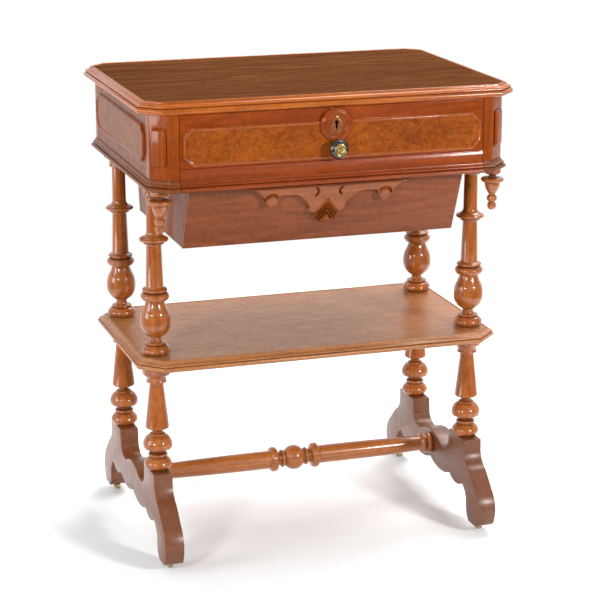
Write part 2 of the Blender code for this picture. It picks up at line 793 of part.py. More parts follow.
def foot_half_outline():
    """Half of a foot's side outline, as (y, z), from its hump round the toe to the middle of its arch."""
    pad_in = LEG_Y - FOOT_PAD_HALF - 0.001
    pad_out = LEG_Y + FOOT_PAD_HALF
    end = FOOT_END
    scallop = 0.0680  # height of the points between the scallops
    low = FOOT_UNDERSIDE
    stations = (
        (0.0, 0.1170),
        (0.0130, 0.1155, 0.05),
        (0.0400, 0.1075, 0.08),
        (LEG_Y - 0.0600, 0.1045, -0.15),
        (pad_in - 0.0025, 0.1180, -0.30),
        (pad_in, FOOT_PAD_HEIGHT),
        (pad_out, FOOT_PAD_HEIGHT),
        (pad_out + 0.0002, 0.1240),
        (end - 0.0470, 0.1010, -0.25),
        (end - 0.0180, 0.0740, 0.02),
        (end, 0.0430, 0.22),
        (end - 0.0060, 0.0200, 0.08),
        (end - 0.0170, low, 0.25),
        (end - 0.0400, low),
        (end - 0.0510, 0.0230, 0.20),
        (end - 0.0540, 0.0450, 0.10),
        (end - 0.0740, scallop, -0.25),
        (LEG_Y - 0.0290, scallop, 0.32),
        (0.0, scallop, 0.22),
    )
    return outline(stations, 3)


def trestle_foot(side, s):
    """A sawn foot under two legs, with a pocket and a stem hole for each caster."""
    half = foot_half_outline()
    other = [(-y, z) for y, z in reversed(half[1:-1])]
    middle = (s * LEG_X, 0, 0)
    foot = plate(f"trestle_foot_{side}", half + other, FOOT_THICK, ACROSS, middle, WALNUT)
    for end, sy in (("front", -1), ("rear", 1)):
        name = f"foot_{side}_{end}"
        socket = (s * LEG_X, sy * LEG_Y, FOOT_PAD_HEIGHT - TENON_INTO_FOOT / 2)
        drill(foot, name + "_socket", TENON_RADIUS + GAP, TENON_INTO_FOOT + 2 * GAP, socket)
        pocket_top = fork_top() + GAP
        pocket = (s * LEG_X, sy * CASTER_Y, pocket_top / 2)
        drill(foot, name + "_pocket", POCKET_RADIUS, pocket_top, pocket)
        stem = (s * LEG_X, sy * CASTER_Y, pocket_top + STEM_LENGTH / 2 - RUN_PAST / 2)
        stem_length = STEM_LENGTH + RUN_PAST
        drill(foot, name + "_stem_hole", STEM_RADIUS + GAP, stem_length, stem, steps=SMALL_STEPS)
    face = s * (LEG_X - FOOT_THICK / 2)
    depth = STRETCHER_TENON + GAP
    centre = (face + s * (depth - RUN_PAST) / 2, 0, STRETCHER_HEIGHT)
    reach = depth + RUN_PAST
    drill(foot, f"foot_{side}_mortise", STRETCHER_TENON_RADIUS + GAP, reach, centre, "X")


def stretcher():
    """The turned rail between the feet, with a ball and two rings in its middle and tenoned ends."""
    reach = LEG_X - FOOT_THICK / 2 - GAP
    half = (
        (0.0, reach + STRETCHER_TENON),
        (STRETCHER_TENON_RADIUS, reach + STRETCHER_TENON),
        (STRETCHER_TENON_RADIUS, reach),
        (0.0160, reach),
        (0.0180, reach - 0.0050, 0.30),
        (0.0150, reach - 0.0100, 0.25),
        (0.0150, reach - 0.0120),
        (0.0165, reach - 0.0160, 0.30),
        (0.0135, reach - 0.0200, 0.20),
        (0.0130, reach - 0.0215),
        (0.0158, 0.0415),
        (0.0200, 0.0385),
        (0.0205, 0.0355),
        (0.0185, 0.0305),
        (0.0120, 0.0285),
        (0.0115, 0.0240, -0.20),
        (0.0140, 0.0220),
        (0.0140, 0.0190),
        (0.0115, 0.0165),
        (0.0165, 0.0115, 0.10),
        (0.0205, 0.0, 0.20),
    )
    points = outline(half, 2)
    profile = points + [(r, -z) for r, z in reversed(points[:-1])]
    mesh = turned_mesh("stretcher", profile, LEG_STEPS)
    rail = add_part("stretcher", mesh, WALNUT, smooth=True)
    rail.location = (0, 0, STRETCHER_HEIGHT)
    rail.rotation_euler = (0, math.pi / 2, 0)


# ---------------------------------------------------------------- casters


def fork_top():
    """Height of the fork's crown, which turns against the roof of the pocket."""
    return 2 * WHEEL_RADIUS + 0.0008 + FORK_WALL


def caster(corner, sx, sy):
    """A small brass caster: a fork with its stem and axle, and a wheel that trails behind the stem."""
    x = sx * LEG_X
    y = sy * CASTER_Y
    wheel_y = y + CASTER_TRAIL
    half = WHEEL_WIDTH / 2 + GAP
    crown_low = fork_top() - FORK_WALL
    stem_middle = (x, y, fork_top() + STEM_LENGTH / 2 - RUN_PAST)
    stem = cylinder_mesh("stem", STEM_RADIUS, STEM_LENGTH, stem_middle, steps=SMALL_STEPS)
    fork = add_part(f"caster_fork_{corner}", stem, BRASS, smooth=True)
    crown = box_mesh(
        f"crown_{corner}",
        (x - half - FORK_WALL, y - 2 * STEM_RADIUS, crown_low),
        (x + half + FORK_WALL, wheel_y + CHEEK_HALF + RUN_PAST, fork_top()),
    )
    boolean(fork, add_cutter(f"crown_{corner}", crown), "UNION")
    for side, s in SIDES:
        inside = x + s * half
        outside = inside + s * FORK_WALL
        low_x, high_x = sorted((inside, outside))
        cheek = box_mesh(
            f"cheek_{corner}_{side}",
            (low_x, wheel_y - CHEEK_HALF, WHEEL_RADIUS - CHEEK_HALF),
            (high_x, wheel_y + CHEEK_HALF, crown_low + FORK_WALL / 2),
        )
        boolean(fork, add_cutter(f"cheek_{corner}_{side}", cheek), "UNION")
    hub = (x, wheel_y, WHEEL_RADIUS)
    axle_length = 2 * half + FORK_WALL
    axle = cylinder_mesh(f"axle_{corner}", AXLE_RADIUS, axle_length, hub, "X", SMALL_STEPS)
    boolean(fork, add_cutter(f"axle_{corner}", axle), "UNION")
    bore = AXLE_RADIUS + GAP
    tread = WHEEL_RADIUS
    profile = (
        (bore, WHEEL_WIDTH / 2),
        (tread - WHEEL_EDGE, WHEEL_WIDTH / 2),
        (tread, WHEEL_WIDTH / 2 - WHEEL_EDGE),
        (tread, -WHEEL_WIDTH / 2 + WHEEL_EDGE),
        (tread - WHEEL_EDGE, -WHEEL_WIDTH / 2),
        (bore, -WHEEL_WIDTH / 2),
        (bore, WHEEL_WIDTH / 2),
    )
    disc = turned_mesh("wheel", profile, LEG_STEPS)
    wheel = add_part(f"caster_wheel_{corner}", disc, BRASS, smooth=True)
    wheel.location = hub
    wheel.rotation_euler = (0, math.pi / 2, 0)
    bpy.context.view_layer.update()
    carry(empty_at(f"swivel_{corner}", (x, y, 0)), (fork, wheel))


# ---------------------------------------------------------------- drawer


def drawer_front_and_trim():
    """The drawer front, its burl panel in a moulding, and the boss that carries the keyhole."""
    face = -HALF_CASE_Y
    low = DRAWER_BOTTOM_Z
    behind = face + DRAWER_FRONT_THICK
    front = box(
        "drawer_front", (-DRAWER_HALF, face, low), (DRAWER_HALF, behind, DRAWER_TOP_Z), WALNUT
    )
    key_y = face + DRAWER_FRONT_THICK / 2
    key_length = DRAWER_FRONT_THICK + 4 * BOSS_PROUD
    panel_z = low + PANEL_UP + PANEL_HEIGHT / 2
    panel = plate(
        "drawer_burl_panel",
        canted_inset(PANEL_WIDTH / 2, PANEL_HEIGHT / 2, PANEL_CANT, PANEL_MOULDING_WIDTH + GAP),
        PANEL_PROUD,
        FACING,
        (0, face - GAP - PANEL_PROUD / 2, panel_z),
        BURL,
    )
    moulding = plate(
        "drawer_panel_moulding",
        canted(PANEL_WIDTH / 2, PANEL_HEIGHT / 2, PANEL_CANT),
        PANEL_MOULDING_PROUD,
        FACING,
        (0, face - GAP - PANEL_MOULDING_PROUD / 2, panel_z),
        PALE_WALNUT,
    )
    hollow = plate_mesh(
        "moulding_hollow",
        canted_inset(PANEL_WIDTH / 2, PANEL_HEIGHT / 2, PANEL_CANT, PANEL_MOULDING_WIDTH),
        4 * PANEL_MOULDING_PROUD,
    )
    hollow.transform(Matrix.Translation((0, face, panel_z)) @ FACING)
    boolean(moulding, add_cutter("moulding_hollow", hollow), "DIFFERENCE")
    for trimmed in (panel, moulding):
        seat_name = trimmed.name + "_boss_seat"
        boss_middle = (0, face, BOSS_Z)
        drill(trimmed, seat_name, BOSS_RADIUS + GAP, key_length, boss_middle, "Y", ROUND_STEPS)
    dowel_hole = KNOB_DOWEL_RADIUS + GAP
    knob_middle = (0, face, KNOB_Z)
    drill(panel, "panel_knob_hole", dowel_hole, key_length, knob_middle, "Y", SMALL_STEPS)
    drill(
        front, "front_knob_hole", dowel_hole, 2 * (KNOB_DOWEL + GAP), knob_middle, "Y", SMALL_STEPS
    )
    boss_profile = (
        (0.0, BOSS_PROUD - BOSS_DISH),
        (BOSS_RADIUS * 0.588, BOSS_PROUD - BOSS_DISH),
        (BOSS_RADIUS * 0.725, BOSS_PROUD - 0.0022),
        (BOSS_RADIUS * 0.863, BOSS_PROUD, 0.15),
        (BOSS_RADIUS, BOSS_PROUD - 0.0045, 0.30),
        (BOSS_RADIUS, 0.0),
        (0.0, 0.0),
    )
    boss_mesh = turned_mesh("lock_boss", boss_profile, ROUND_STEPS)
    boss = add_part("lock_boss", boss_mesh, WALNUT, smooth=True)
    boss.location = (0, face - GAP, BOSS_Z)
    boss.rotation_euler = (math.pi / 2, 0, 0)
    round_end = 0.414  # the bulge of a quarter circle
    shield = outline(
        (
            (0.0, PLATE_POINT),
            (PLATE_RADIUS, -PLATE_DROP, 0.12),
            (0.0, -PLATE_DROP - PLATE_RADIUS, round_end),
            (-PLATE_RADIUS, -PLATE_DROP, round_end),
            (0.0, PLATE_POINT, 0.12),
        ),
        6,
    )[:-1]
    plate_y = face - GAP - BOSS_PROUD + BOSS_DISH - GAP - PLATE_THICK / 2
    scutcheon = plate("keyhole_plate", shield, PLATE_THICK, FACING, (0, plate_y, BOSS_Z), BRASS)
    bow = (0, key_y, BOSS_Z + KEYHOLE_UP)
    for holed in (front, boss, scutcheon):
        drill(holed, holed.name + "_key_bow", KEYHOLE_RADIUS, key_length, bow, "Y", SMALL_STEPS)
        cut_box(
            holed,
            holed.name + "_key_slot",
            (-KEYHOLE_RADIUS / 2, key_y - key_length / 2, BOSS_Z + KEYHOLE_UP - KEYHOLE_SLOT),
            (KEYHOLE_RADIUS / 2, key_y + key_length / 2, BOSS_Z + KEYHOLE_UP),
        )


def knob_and_rosette():
    """A black turned knob, dowelled into the drawer front, with a brass rosette let into its face."""
    reach = KNOB_REACH
    rim = KNOB_RADIUS
    seat = ROSETTE_SEAT
    profile = (
        (0.0, reach - seat),
        (ROSETTE_RADIUS + GAP, reach - seat),
        (ROSETTE_RADIUS + GAP, reach),
        (ROSETTE_RADIUS + 0.0012, reach),
        (rim, reach - 0.0075, 0.22),
        (rim - 0.0025, reach - 0.0120, 0.20),
        (0.0072, reach - 0.0170, -0.15),
        (KNOB_FOOT * 0.8, 0.0050),
        (KNOB_FOOT, PANEL_PROUD + 3 * GAP),
        (KNOB_DOWEL_RADIUS, PANEL_PROUD + 3 * GAP),
        (KNOB_DOWEL_RADIUS, -KNOB_DOWEL),
        (0.0, -KNOB_DOWEL),
    )
    knob_mesh = turned_mesh("drawer_knob", profile, LEG_STEPS)
    knob = add_part("drawer_knob", knob_mesh, EBONY, smooth=True)
    rosette_profile = (
        (0.0, ROSETTE_HEIGHT),
        (0.0022, ROSETTE_HEIGHT - 0.0004, 0.20),
        (0.0030, 0.0012),
        (0.0062, 0.0016, 0.10),
        (0.0090, 0.0012, 0.20),
        (ROSETTE_RADIUS, 0.0),
        (0.0, 0.0),
    )
    rosette_mesh = turned_mesh("knob_rosette", rosette_profile, LEG_STEPS)
    rosette = add_part("knob_rosette", rosette_mesh, BRASS, smooth=True)
    for piece, out in ((knob, 0.0), (rosette, reach - seat + GAP)):
        piece.location = (0, -HALF_CASE_Y - out, KNOB_Z)
        piece.rotation_euler = (math.pi / 2, 0, 0)


def lock_and_bolt():
    """The brass lock behind the boss, and the bolt that it throws up into the top."""
    y = DRAWER_BACK_FACE + GAP
    top = DRAWER_TOP_Z - 0.0004
    lock = box(
        "drawer_lock",
        (-LOCK_WIDTH / 2, y, top - LOCK_HEIGHT),
        (LOCK_WIDTH / 2, y + LOCK_THICK, top),
        BRASS,
    )
    half_x = BOLT_WIDTH / 2
    half_y = BOLT_THICK / 2
    middle = bolt_y()
    cut_box(
        lock,
        "bolt_channel",
        (-half_x - GAP, middle - half_y - GAP, top - BOLT_LENGTH - 2 * GAP),
        (half_x + GAP, middle + half_y + GAP, top + 0.001),
    )
    box(
        "lock_bolt",
        (-half_x, middle - half_y, top - BOLT_LENGTH - GAP),
        (half_x, middle + half_y, top - GAP),
        BRASS,
    )


def drawer_box():
    """The drawer's sides, back and bottom, and the tray of compartments that it holds."""
    front_y = DRAWER_BACK_FACE + GAP
    back_y = DRAWER_BACK_FACE + DRAWER_DEPTH
    low = DRAWER_BOTTOM_Z
    high = DRAWER_SIDE_TOP
    outer = OPENING_HALF - SLIDE_PLAY
    inner = outer - DRAWER_SIDE_THICK
    for side, s in SIDES:
        x = sorted((s * inner, s * outer))
        box(f"drawer_side_{side}", (x[0], front_y, low), (x[1], back_y, high), DRAWER_WOOD)
    x = inner - GAP
    back = back_y - DRAWER_SIDE_THICK
    box("drawer_back", (-x, back, low), (x, back_y, high), DRAWER_WOOD)
    floor = low + DRAWER_BOTTOM_UP
    floor_top = floor + DRAWER_BOTTOM_THICK
    box("drawer_bottom", (-x, front_y, floor), (x, back - GAP, floor_top), DRAWER_WOOD)
    tray_low = floor_top + GAP
    tray_high = tray_low + DIVIDER_HEIGHT
    lengthwise = (back + front_y) / 2 + DIVIDERS_BACK
    half = DIVIDER_THICK / 2
    dividers = box(
        "drawer_dividers",
        (-x + GAP, lengthwise - half, tray_low),
        (x - GAP, lengthwise + half, tray_high),
        DRAWER_WOOD,
    )
    for i in range(1, DIVIDER_CELLS):
        at = -x + 2 * x * i / DIVIDER_CELLS
        rib = box_mesh(
            f"divider_{i}",
            (at - half, lengthwise, tray_low),
            (at + half, back - 2 * GAP, tray_high),
        )
        boolean(dividers, add_cutter(f"divider_{i}", rib), "UNION")


# ---------------------------------------------------------------- hopper


def hopper_rail():
    """The hopper's front rail, which carries the case's base moulding across the opening."""
    face = -HALF_CASE_Y
    edge = [(face - MOULDING_OUT + inset, z) for inset, z in base_profile()[:-1]]
    points = edge + [(face, RAIL_TOP), (RAIL_BACK_Y, RAIL_TOP), (RAIL_BACK_Y, BEARER_BOTTOM)]
    plate("hopper_rail", points, 2 * DRAWER_HALF, ACROSS, (0, 0, 0), WALNUT)


def hopper_lines():
    """Where the sloping front and back boards' outer faces lie, as functions of height."""
    top = BEARER_BOTTOM - GAP

    def front(z):
        return -HALF_CASE_Y + HOPPER_FRONT_IN + (top - z) * HOPPER_FRONT_SLOPE

    def back(z):
        return HALF_CASE_Y - HOPPER_BACK_IN - (top - z) * HOPPER_BACK_SLOPE

    return front, back


def hopper():
    """A box that hangs under the case on two slides, with a sloping front and back."""
    front, back = hopper_lines()
    low = BEARER_BOTTOM - HOPPER_DROP
    under = BEARER_BOTTOM - GAP
    slide_low = BEARER_BOTTOM + HOPPER_LIP + GAP
    high = slide_low + HOPPER_SLIDE_HEIGHT
    front_wall = HOPPER_WALL * math.hypot(1, HOPPER_FRONT_SLOPE)
    back_wall = HOPPER_WALL * math.hypot(1, HOPPER_BACK_SLOPE)
    plate(
        "hopper_front",
        [
            (front(low), low),
            (front(low) + front_wall, low),
            (front(under) + front_wall, under),
            (front(under), under),
        ],
        2 * HOPPER_HALF,
        ACROSS,
        (0, 0, 0),
        DARK_WALNUT,
    )
    plate(
        "hopper_back",
        [
            (back(low) - back_wall, low),
            (back(low), low),
            (back(high), high),
            (back(high) - back_wall, high),
        ],
        2 * HOPPER_HALF,
        ACROSS,
        (0, 0, 0),
        DARK_WALNUT,
    )
    seam = 2 * GAP
    inner_front = [(front(z) + front_wall + seam, z) for z in (low, under)]
    inner_back = [(back(z) - back_wall - seam, z) for z in (low, high)]
    rail_line = max(inner_front[1][0], RAIL_BACK_Y + GAP)
    section = [
        inner_front[0],
        inner_back[0],
        inner_back[1],
        (rail_line, high),
        (rail_line, under),
    ]
    if rail_line > inner_front[1][0]:
        section.append(inner_front[1])
    for side, s in SIDES:
        middle = s * (HOPPER_HALF - HOPPER_WALL / 2)
        name = f"hopper_side_{side}"
        board = plate(name, section, HOPPER_WALL, ACROSS, (middle, 0, 0), DARK_WALNUT)
        x = sorted((s * (HOPPER_HALF - 0.002), s * (OPENING_HALF - SLIDE_PLAY)))
        slide = box_mesh(
            f"hopper_slide_{side}",
            (x[0], rail_line, slide_low),
            (x[1], back(slide_low) - back_wall - seam, high),
        )
        boolean(board, add_cutter(f"hopper_slide_{side}", slide), "UNION")
    floor_top = low + HOPPER_BOTTOM_THICK
    floor = [
        (front(low) + front_wall + seam, low),
        (back(low) - back_wall - seam, low),
        (back(floor_top) - back_wall - seam, floor_top),
        (front(floor_top) + front_wall + seam, floor_top),
    ]
    x = HOPPER_HALF - HOPPER_WALL - GAP
    plate("hopper_bottom", floor, 2 * x, ACROSS, (0, 0, 0), DRAWER_WOOD)


def hopper_apron():
    """The carved drop on the hopper's front, with a roundel at each side and a leaf in its middle."""
    half = (
        (0.0, 0.0),
        (0.1310, 0.0),
        (0.1030, 0.0300, 0.14),
        (0.0920, 0.0345),
        (0.0820, 0.0270),
        (0.0610, 0.0170, 0.24),
        (0.0400, 0.0280, 0.19),
        (0.0280, 0.0500, 0.06),
        (0.0240, 0.0595),
        (0.0130, 0.0650),
        (0.0, 0.0720, -0.10),
    )
    right = [(x, -s) for x, s in outline(half, 4)[1:]]
    left = [(-x, y) for x, y in reversed(right[:-1])]
    mesh = plate_mesh("hopper_apron", right + left, APRON_THICK)
    slope = math.atan(HOPPER_FRONT_SLOPE)
    front, _ = hopper_lines()
    top = BEARER_BOTTOM - GAP - APRON_THICK * math.sin(slope) - GAP
    tilt = Matrix.Rotation(slope, 4, "X")
    out = APRON_THICK / 2 + GAP
    offset = Vector((0, -out * math.cos(slope), -out * math.sin(slope)))
    place = Matrix.Translation(Vector((0, front(top), top)) + offset) @ tilt @ FACING
    mesh.transform(place)
    apron = add_part("hopper_apron", mesh, WALNUT)
    for side, s in SIDES:
        middle = (s * ROUNDEL_OUT, -ROUNDEL_DOWN, ROUNDEL_PROUD)
        disc = cylinder_mesh(f"roundel_{side}", ROUNDEL_RADIUS, APRON_THICK, middle)
        disc.transform(place)
        boolean(apron, add_cutter(f"roundel_{side}", disc), "UNION")


# ---------------------------------------------------------------- assembly

table_top()
for corner_name, x_sign, y_sign in CORNERS:
    corner_post(f"corner_post_{corner_name}", x_sign, y_sign)
    caster(corner_name, x_sign, y_sign)
case_boards()
bearers()
top_rail()
for side_name, side_sign in SIDES:
    side_panel(side_name, side_sign)
    drawer_runner(side_name, side_sign)
    trestle_foot(side_name, side_sign)
legs()
shelf()
pendants()
stretcher()
drawer_front_and_trim()
knob_and_rosette()
lock_and_bolt()
drawer_box()
hopper_rail()
hopper()
hopper_apron()
stand_on_centre()
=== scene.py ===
# %% [markdown]
# # A sewing table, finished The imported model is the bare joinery: every board, leg and slide in its
# place. This script gives it the crisp turning, the mouldings, the carving and the varnish that the real
# table has. Each piece rides on the joinery's own bodies, so the drawer, the hopper and the casters still
# move.

# %% Load the joinery
import math

import bmesh
import bpy
import numpy as np
from mathutils import Matrix, Vector
from mathutils.geometry import delaunay_2d_cdt


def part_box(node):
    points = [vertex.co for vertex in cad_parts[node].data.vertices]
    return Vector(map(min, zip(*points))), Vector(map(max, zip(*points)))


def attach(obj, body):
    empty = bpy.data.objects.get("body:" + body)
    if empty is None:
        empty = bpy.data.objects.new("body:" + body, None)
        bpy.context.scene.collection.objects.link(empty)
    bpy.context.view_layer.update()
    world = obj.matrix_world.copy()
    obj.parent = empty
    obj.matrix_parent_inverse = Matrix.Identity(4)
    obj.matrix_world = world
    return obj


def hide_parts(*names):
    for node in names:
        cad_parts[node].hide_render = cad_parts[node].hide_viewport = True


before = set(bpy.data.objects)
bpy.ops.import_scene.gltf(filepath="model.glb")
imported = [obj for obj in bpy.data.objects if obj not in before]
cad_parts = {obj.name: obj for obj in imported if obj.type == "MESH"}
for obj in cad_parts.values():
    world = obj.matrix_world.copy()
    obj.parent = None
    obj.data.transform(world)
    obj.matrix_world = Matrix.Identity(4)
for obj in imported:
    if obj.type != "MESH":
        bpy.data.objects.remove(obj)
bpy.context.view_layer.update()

# %% [markdown]
# ## Outlines with arcs
# A maker draws a moulding or a turning with a few points and the curve between each pair. The bulge says
# how far an arc stands out to the left of the way it runs, as a share of half its length, so a bead and a
# hollow differ only in its sign. The curve is then cut into short straight pieces.


# %% Outline helpers
def arc(start, end, bulge, steps):
    """The points of an arc after start, up to end."""
    if not bulge:
        return [end]
    (ax, ay), (bx, by) = start, end
    chord = math.hypot(bx - ax, by - ay)
    angle = 4 * math.atan(bulge)
    radius = chord / (2 * math.sin(angle / 2))
    side = Vector((ay - by, bx - ax)) / chord
    centre = Vector(((ax + bx) / 2, (ay + by) / 2)) - side * radius * math.cos(angle / 2)
    first = math.atan2(ay - centre.y, ax - centre.x)
    turns = [first - angle * i / steps for i in range(1, steps + 1)]
    return [(centre.x + abs(radius) * math.cos(t), centre.y + abs(radius) * math.sin(t)) for t in turns]


def outline(stations, steps=8):
    """A run of points through stations of (x, y), or of (x, y, bulge) where an arc ends there."""
    points = [tuple(stations[0][:2])]
    for station in stations[1:]:
        bulge = station[2] if len(station) > 2 else 0.0
        points += arc(points[-1], tuple(station[:2]), bulge, steps)
    return points


def line_mesh(name, points):
    """A mesh of one line through the points, for a node tree to read."""
    mesh = bpy.data.meshes.new(name)
    spans = [(i, i + 1) for i in range(len(points) - 1)]
    mesh.from_pydata([(*point, 0.0)[:3] if len(point) == 2 else point for point in points], spans, [])
    return mesh


print("a half-round bead has", len(outline([(0, 0), (1, 0, 1.0)])), "points")

# %% [markdown]
# ## Finishing a piece
# Whatever makes a mesh, it ends the same way: doubled points are merged, faces turned outward, smooth
# shading broken at real corners, and the piece tied to its body. A piece that stands for a bare part of
# the joinery hides that part.


def clean(mesh, close=False):
    """Merges doubled points, caps open ends if asked, and turns the faces outward."""
    shape = bmesh.new()
    shape.from_mesh(mesh)
    bmesh.ops.remove_doubles(shape, verts=shape.verts, dist=2e-6)
    if close:
        bmesh.ops.holes_fill(shape, edges=shape.edges, sides=0)
    bmesh.ops.recalc_face_normals(shape, faces=shape.faces)
    shape.to_mesh(mesh)
    shape.free()


def shade(mesh, corner_deg=32):
    """Smooth shading, broken where the surface turns by more than the angle."""
    mesh.shade_smooth()
    mesh.set_sharp_from_angle(angle=math.radians(corner_deg))


def place(name, mesh, finish, body, *nodes):
    """A finished piece that rides on a body and stands for these parts of the joinery."""
    mesh.name = name
    mesh.materials.clear()
    mesh.materials.append(finish)
    piece = bpy.data.objects.new(name, mesh)
    bpy.context.scene.collection.objects.link(piece)
    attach(piece, body)
    if nodes:
        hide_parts(*nodes)
    return piece


def apply_modifiers(piece):
    """Gives the piece the mesh that its modifiers make."""
    bpy.context.view_layer.update()
    graph = bpy.context.evaluated_depsgraph_get()
    mesh = bpy.data.meshes.new_from_object(piece.evaluated_get(graph))
    piece.modifiers.clear()
    piece.data = mesh
    return piece


# %% [markdown]
# ## Building node trees
# Three small helpers keep the trees readable. `tree_with` makes an empty tree and its named sockets,
# `add` puts a node in it, and `grow` runs a tree on a mesh and keeps the plain result.


# %% Node tree helpers
def tree_with(name, kind, inputs, outputs):
    """An empty node group with these named sockets, and its input and output nodes."""
    tree = bpy.data.node_groups.new(name, kind)
    for label, socket, *default in inputs:
        made = tree.interface.new_socket(label, in_out="INPUT", socket_type=socket)
        if default:
            made.default_value = default[0]
    for label, socket in outputs:
        tree.interface.new_socket(label, in_out="OUTPUT", socket_type=socket)
    return tree, tree.nodes.new("NodeGroupInput"), tree.nodes.new("NodeGroupOutput")


def add(tree, kind, settings=None, **inputs):
    """A node of this kind. An input is a value or another node's output, by the socket's name or place."""
    node = tree.nodes.new(kind)
    for key, value in (settings or {}).items():
        setattr(node, key, value)
    for key, value in inputs.items():
        socket = node.inputs[int(key[1:])] if key[0] == "i" and key[1:].isdigit() else node.inputs[key]
        if isinstance(value, bpy.types.NodeSocket):
            tree.links.new(value, socket)
        else:
            socket.default_value = value
    return node


def whole(tree, operation, a, b):
    """Whole-number arithmetic on two values."""
    return add(tree, "FunctionNodeIntegerMath", {"operation": operation}, i0=a, i1=b).outputs[0]


def maths(tree, operation, a, b=0.0):
    """Arithmetic on two values."""
    return add(tree, "ShaderNodeMath", {"operation": operation}, i0=a, i1=b).outputs[0]


def grow(tree, mesh, **values):
    """Runs a geometry tree on a mesh with these inputs, and returns the plain mesh that it makes."""
    carrier = bpy.data.objects.new(mesh.name, mesh)
    step = carrier.modifiers.new(tree.name, "NODES")
    step.node_group = tree
    for item in tree.interface.items_tree:
        if item.in_out == "INPUT" and item.name in values:
            step[item.identifier] = values[item.name]
    bpy.context.scene.collection.objects.link(carrier)
    bpy.context.view_layer.update()
    graph = bpy.context.evaluated_depsgraph_get()
    made = bpy.data.meshes.new_from_object(carrier.evaluated_get(graph))
    carrier.modifiers.remove(step)
    bpy.data.objects.remove(carrier)
    return made


print("node helpers ready")

# %% [markdown]
# ## The lathe
# Legs, drops, the stretcher, the knob and the caster wheels are all turned: one outline, spun about an
# axis. A Screw modifier would do it too, but a node tree keeps the number of steps as a named input and
# closes the seam and both ends itself. It lays out a grid, one column for each step of the turn and one
# row for each point of the outline, then moves every grid point to its outline point and swings it round.


# %% The lathe tree
def lathe_tree():
    """Spins the outline that comes in, drawn in X and Z, about Z."""
    inputs = (
        ("Outline", "NodeSocketGeometry"),
        ("Steps", "NodeSocketInt", 48),
        ("Finish", "NodeSocketMaterial"),
    )
    tree, given, out = tree_with("Lathe", "GeometryNodeTree", inputs, [("Turned", "NodeSocketGeometry")])
    outline_in, steps, finish = given.outputs[:3]
    count = add(tree, "GeometryNodeAttributeDomainSize", None, Geometry=outline_in).outputs["Point Count"]
    columns = whole(tree, "ADD", steps, 1)
    grid = add(tree, "GeometryNodeMeshGrid", None, i2=columns, i3=count).outputs["Mesh"]
    index = add(tree, "GeometryNodeInputIndex").outputs[0]
    row = whole(tree, "MODULO", index, count)
    column = whole(tree, "DIVIDE_FLOOR", index, count)
    position = add(tree, "GeometryNodeInputPosition").outputs[0]
    sample = add(tree, "GeometryNodeSampleIndex", {"data_type": "FLOAT_VECTOR"}, Geometry=outline_in)
    tree.links.new(position, sample.inputs["Value"])
    tree.links.new(row, sample.inputs["Index"])
    share = maths(tree, "DIVIDE", column, steps)
    angle = maths(tree, "MULTIPLY", share, math.tau)
    about_z = {"rotation_type": "Z_AXIS"}
    swung = add(tree, "ShaderNodeVectorRotate", about_z, Vector=sample.outputs[0], Angle=angle)
    moved = add(tree, "GeometryNodeSetPosition", None, Geometry=grid, Position=swung.outputs[0])
    joined = add(tree, "GeometryNodeMergeByDistance", None, Geometry=moved.outputs[0], Distance=2e-6)
    real = add(tree, "GeometryNodeRealizeInstances", None, Geometry=joined.outputs[0])
    done = add(tree, "GeometryNodeSetMaterial", None, Geometry=real.outputs[0], Material=finish)
    tree.links.new(done.outputs[0], out.inputs[0])
    return tree


LATHE = lathe_tree()


def turned(name, stations, finish, where, steps=56, arc_steps=8, corner_deg=32):
    """A turned mesh from an outline of (radius, height) that runs down its outer side, moved to its place."""
    points = [(radius, 0.0, height) for radius, height in outline(stations, arc_steps)]
    mesh = grow(LATHE, line_mesh(name, points), Steps=steps, Finish=finish)
    clean(mesh)
    mesh.transform(where)
    shade(mesh, corner_deg)
    return mesh


print("the lathe tree has", len(LATHE.nodes), "nodes")

# %% [markdown]
# ## The moulding plane
# A moulded edge runs round a board with canted corners, and its outline meets itself at a mitre at each
# corner. Curve to Mesh would pinch the outline there, because it turns it without widening it. This tree
# takes the board's corners, with a mitre direction stored on each, and slides the outline in along that
# direction, so the edges stay parallel and the mitres are true. The same tree makes the frames round the
# panels.


